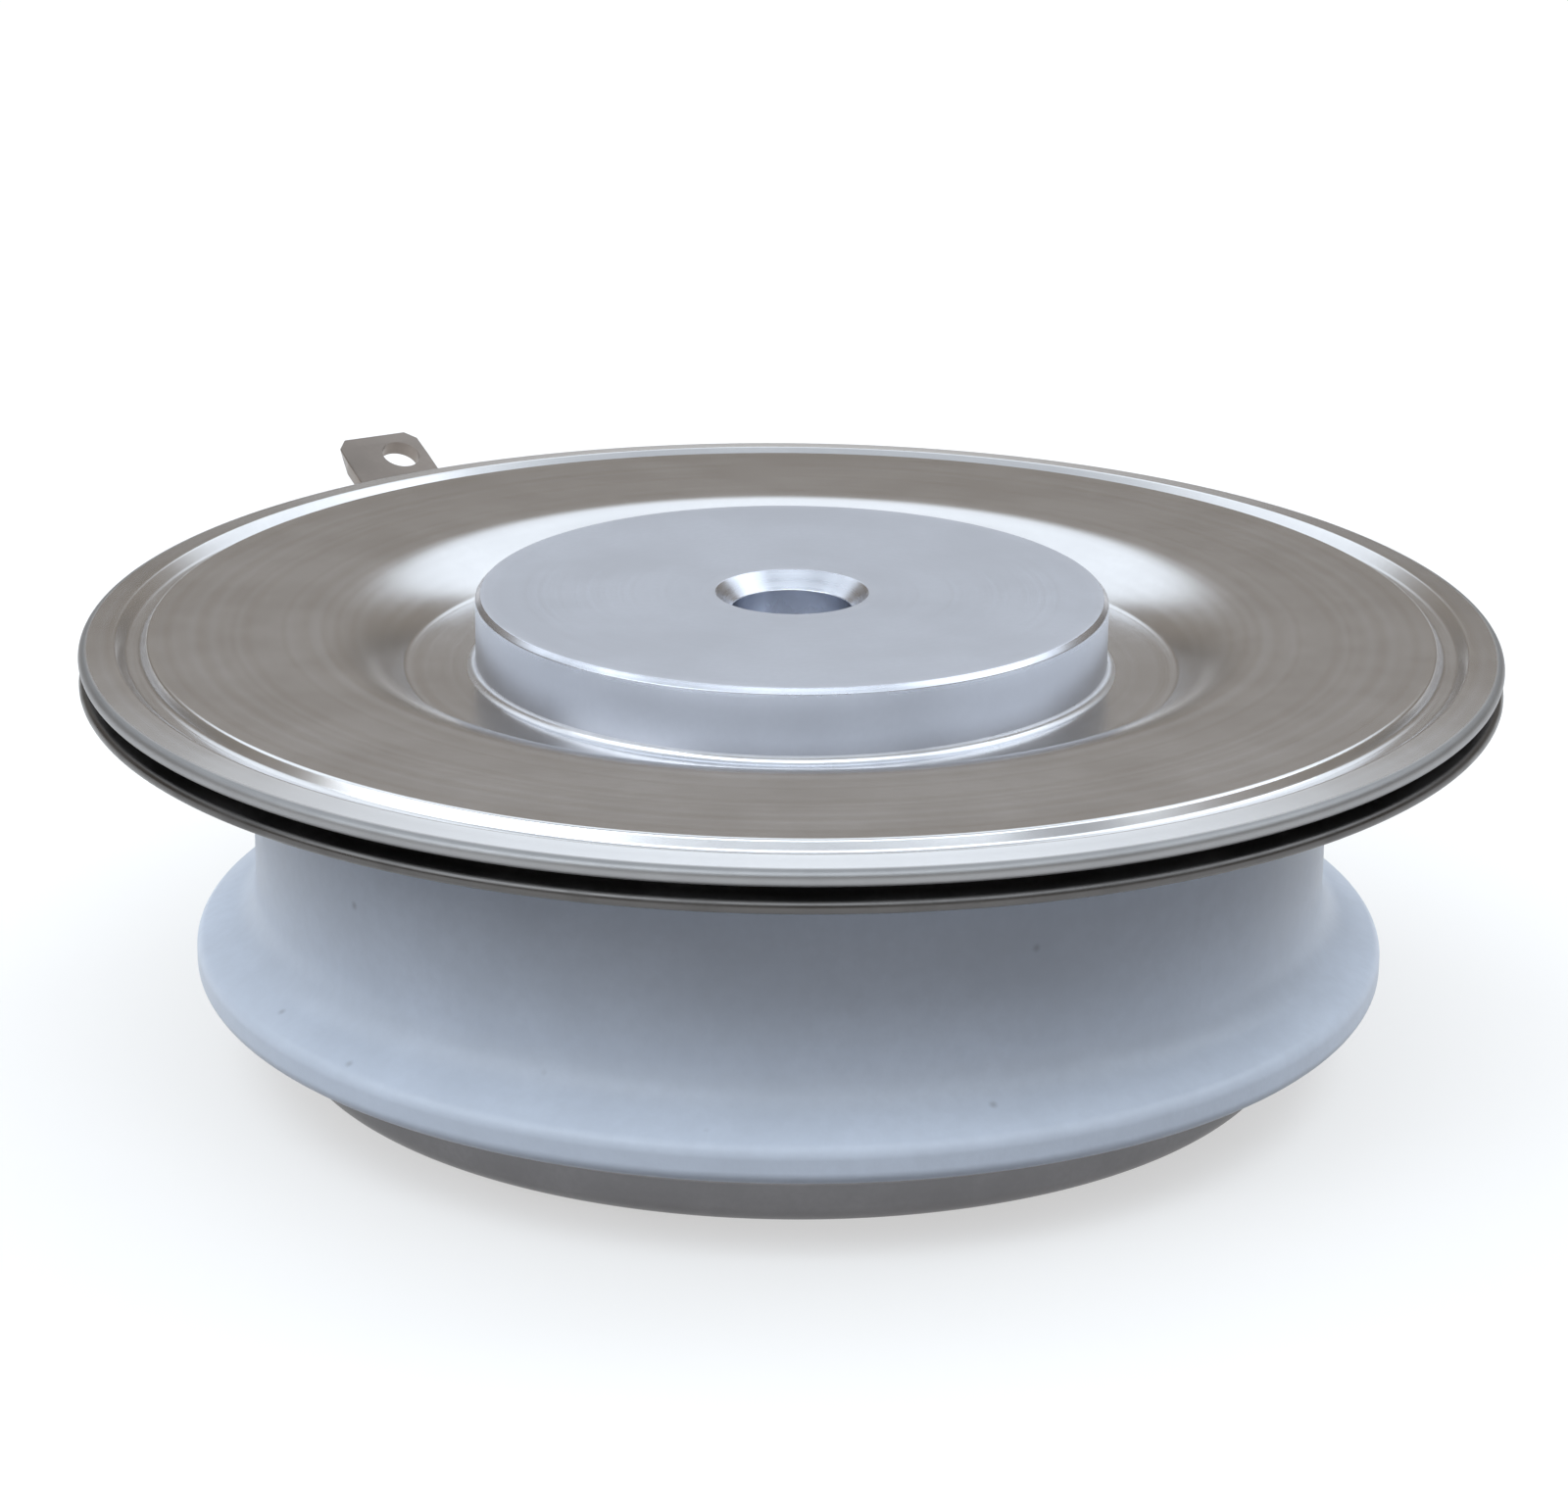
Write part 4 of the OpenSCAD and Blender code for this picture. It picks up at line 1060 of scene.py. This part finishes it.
class FinishInside(bpy.types.Operator):
    """Gives the pieces inside the capsule their finishes"""

    bl_idname = "thyristor.finish_inside"
    bl_label = "Inner finishes"

    def execute(self, context):
        molybdenum = metal("molybdenum", (0.40, 0.40, 0.42), 0.38, rings=5.0, wear=0.0)
        finishes = {
            "seal_braze_ring": braze_metal(),
            "base_braze_ring": braze_metal(),
            "anode_molybdenum_disc": molybdenum,
            "cathode_molybdenum_disc": molybdenum,
            "silicon_wafer": metal("silicon", (0.16, 0.17, 0.21), 0.16, rings=0.2, tone=0.05, wear=0.0),
            "wafer_edge_seal": moulded("red_rubber", (0.42, 0.09, 0.05), 0.6),
            "wafer_locating_ring": moulded("white_plastic", (0.80, 0.79, 0.74), 0.42),
            "gate_insulator_cup": moulded("cup_plastic", (0.84, 0.83, 0.80), 0.4),
            "gate_guide_bush": moulded("bush_plastic", (0.72, 0.68, 0.58), 0.45),
            "gate_lead_sleeve": moulded("sleeve_plastic", (0.80, 0.80, 0.80), 0.35),
            "gate_pin": metal("gilt_contact", (0.78, 0.58, 0.26), 0.24, rings=4.0, wear=0.0),
            "gate_spring": metal("spring_steel", (0.52, 0.52, 0.54), 0.3, rings=1.0, wear=0.0),
            "gate_lead": metal("silver_wire", (0.80, 0.80, 0.82), 0.26, rings=1.0, wear=0.0),
        }
        for node, material in finishes.items():
            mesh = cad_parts[node].data
            mesh.materials.clear()
            mesh.materials.append(material)
        return {"FINISHED"}


class BuildStage(bpy.types.Operator):
    """Sets up the floor, the soft light and the camera"""

    bl_idname = "thyristor.build_stage"
    bl_label = "Studio"

    def execute(self, context):
        scene = context.scene
        scene.view_settings.view_transform = "Standard"
        place_floor()
        place_lights()
        place_camera(scene)
        return {"FINISHED"}


def place_floor():
    """Round floor on z = 0: rings of points at growing radii.

    It is white to the camera and in reflections, more so far from the part, and dim to diffuse rays.
    """
    k = settings("stage")
    section = np.stack([FLOOR_RADII, np.zeros_like(FLOOR_RADII)], -1)
    points = np.concatenate([turned(section, FLOOR_SIDES).reshape(-1, 3), [(0, 0, 0)]])
    ring = np.arange(FLOOR_SIDES)
    middle = np.stack([np.full_like(ring, len(points) - 1), ring, np.roll(ring, -1)], -1)
    quads = grid_quads(len(FLOOR_RADII), FLOOR_SIDES, False, True)
    floor = new_piece("floor", points, [quads, middle])
    material = bpy.data.materials.new("studio_floor")
    material.use_nodes = True
    s = Shader(material.node_tree)
    s.tree.nodes.remove(s.tree.nodes["Principled BSDF"])
    cloud = place_group(s, "mottle", "Cloud", patches_per_mm=0.02, detail=2.0)
    colour = settings("colours").floor
    pale = s.add("ShaderNodeBsdfDiffuse", {"Color": s.blend(cloud, rgba(colour, 0.99), rgba(colour))})
    dim = s.add("ShaderNodeBsdfDiffuse", {"Color": rgba(k.floor_bounce)})
    glow = s.add("ShaderNodeEmission", {"Color": (1.0, 1.0, 1.0, 1.0), "Strength": 1.0})
    white = s.span(s.radius(), *FLOOR_FADE_MM, k.floor_glow, 1.0)
    lifted = s.add("ShaderNodeMixShader", {0: white, 1: pale.outputs[0], 2: glow.outputs[0]})
    seen = s.math("MAXIMUM", *s.rays())
    both = s.add("ShaderNodeMixShader", {0: seen, 1: dim.outputs[0], 2: lifted.outputs[0]})
    s.join(both.outputs[0], s.tree.nodes["Material Output"], "Surface")
    floor.data.materials.append(material)


def soft_box(name, place, width, depth, brightness, shines=True):
    """Rectangular soft box, in reflections or not; its power follows from its brightness and area."""
    lamp = bpy.data.lights.new(name, "AREA")
    lamp.shape = "RECTANGLE"
    lamp.size, lamp.size_y = width, depth
    lamp.energy = brightness * math.pi * width * depth
    lamp.color = LIGHT_TINT
    box = bpy.data.objects.new(name, lamp)
    box.location = place
    box.rotation_euler = (Vector(LIGHT_AIM) - Vector(place)).to_track_quat("-Z", "Y").to_euler()
    box.visible_camera = False
    box.visible_glossy = shines
    bpy.context.scene.collection.objects.link(box)


def place_lights():
    """Soft boxes above, in front and at the sides; the surround is dim low down and bright high behind.

    The camera sees plain white in its place, and reflections do so close to the horizon.
    """
    k = settings("stage")
    soft_box("overhead_box", (0, 0.03, 0.36), 0.36, 0.30, k.overhead)
    soft_box("front_box", (0, -0.23, 0.34), 0.50, 0.20, k.front)
    soft_box("left_box", (-0.30, -0.15, 0.28), 0.34, 0.26, k.left)
    soft_box("right_box", (0.31, -0.02, 0.33), 0.34, 0.26, k.right)
    soft_box("left_fill", (-0.21, 0.12, 0.29), 0.30, 0.20, k.fill, shines=False)
    soft_box("right_fill", (0.21, 0.12, 0.29), 0.30, 0.20, k.fill, shines=False)
    world = bpy.data.worlds.new("studio")
    world.use_nodes = True
    s = Shader(world.node_tree)
    direction = s.add("ShaderNodeTexCoord").outputs["Generated"]
    axes = s.add("ShaderNodeSeparateXYZ", {0: direction}).outputs
    upper = s.span(axes["Z"], *HORIZON_BAND, 0.0, 1.0)
    lower = s.span(axes["Z"], *LOW_BAND, 0.0, 1.0)
    behind = s.span(axes["Y"], *BEHIND_BAND, 0.0, 1.0)
    top = s.span(axes["Z"], *ZENITH_BAND, 0.0, 1.0)
    near = s.span(axes["Z"], *BACKDROP_BAND, 1.0, 0.0)
    above = s.blend(behind, rgba(k.side_sky), s.blend(top, rgba(k.sky), rgba(k.zenith)))
    colour = s.blend(upper, s.blend(lower, rgba(k.low), rgba(k.horizon)), above)
    camera, shine = s.rays()
    seen = s.math("MAXIMUM", camera, s.math("MULTIPLY", shine, near))
    colour = s.blend(seen, colour, rgba((1 / k.surround,) * 3))
    background = world.node_tree.nodes["Background"]
    s.join(colour, background, "Color")
    background.inputs["Strength"].default_value = k.surround
    bpy.context.scene.world = world


def place_camera(scene):
    """Camera on the front side, raised by its elevation and turned by its roll."""
    k = settings("stage")
    back = Vector((0, -math.cos(k.elevation), math.sin(k.elevation)))
    side = Vector((1, 0, 0))
    up = back.cross(side)
    x_axis = math.cos(k.roll) * side + math.sin(k.roll) * up
    y_axis = math.cos(k.roll) * up - math.sin(k.roll) * side
    eye = Vector((0, 0, settings("sheets").lid_z)) + back * k.distance
    eye += x_axis * k.aim_x + y_axis * k.aim_y
    lens = bpy.data.cameras.new("camera")
    lens.sensor_fit = "HORIZONTAL"
    lens.sensor_width = 36
    lens.lens = k.lens
    lens.clip_start = 0.005
    camera = bpy.data.objects.new("camera", lens)
    camera.matrix_world = Matrix.Translation(eye) @ Matrix((x_axis, y_axis, back)).transposed().to_4x4()
    scene.collection.objects.link(camera)
    scene.camera = camera


class ThyristorPanel(bpy.types.Panel):
    """Lists the steps that build the thyristor"""

    bl_idname = "VIEW3D_PT_thyristor"
    bl_label = "Disc thyristor"
    bl_space_type = "VIEW_3D"
    bl_region_type = "UI"
    bl_category = "Thyristor"

    def draw(self, context):
        for step in STEPS:
            self.layout.operator(step.bl_idname)
        for name in GROUPS_OF_SETTINGS:
            values = settings(name)
            for key in values.__annotations__:
                self.layout.prop(values, key)


GROUPS_OF_SETTINGS = {
    "poles": PoleSizes,
    "sheets": SheetSizes,
    "ceramic": CeramicSizes,
    "gate": GateSizes,
    "colours": FinishColours,
    "stage": StageSettings,
}
STEPS = (BuildPoles, BuildSheets, BuildCeramic, BuildGate, FinishInside, BuildStage)


def register():
    for cls in (*GROUPS_OF_SETTINGS.values(), *STEPS, ThyristorPanel):
        bpy.utils.register_class(cls)
    for name, cls in GROUPS_OF_SETTINGS.items():
        setattr(bpy.types.Scene, "thyristor_" + name, PointerProperty(type=cls))


def unregister():
    for name in GROUPS_OF_SETTINGS:
        delattr(bpy.types.Scene, "thyristor_" + name)
    for cls in reversed((*GROUPS_OF_SETTINGS.values(), *STEPS, ThyristorPanel)):
        bpy.utils.unregister_class(cls)


def main():
    register()
    bpy.ops.thyristor.build_poles()
    bpy.ops.thyristor.build_sheets()
    bpy.ops.thyristor.build_ceramic()
    bpy.ops.thyristor.build_gate()
    bpy.ops.thyristor.finish_inside()
    bpy.ops.thyristor.build_stage()
    bpy.context.view_layer.update()


if __name__ == "__main__":
    main()
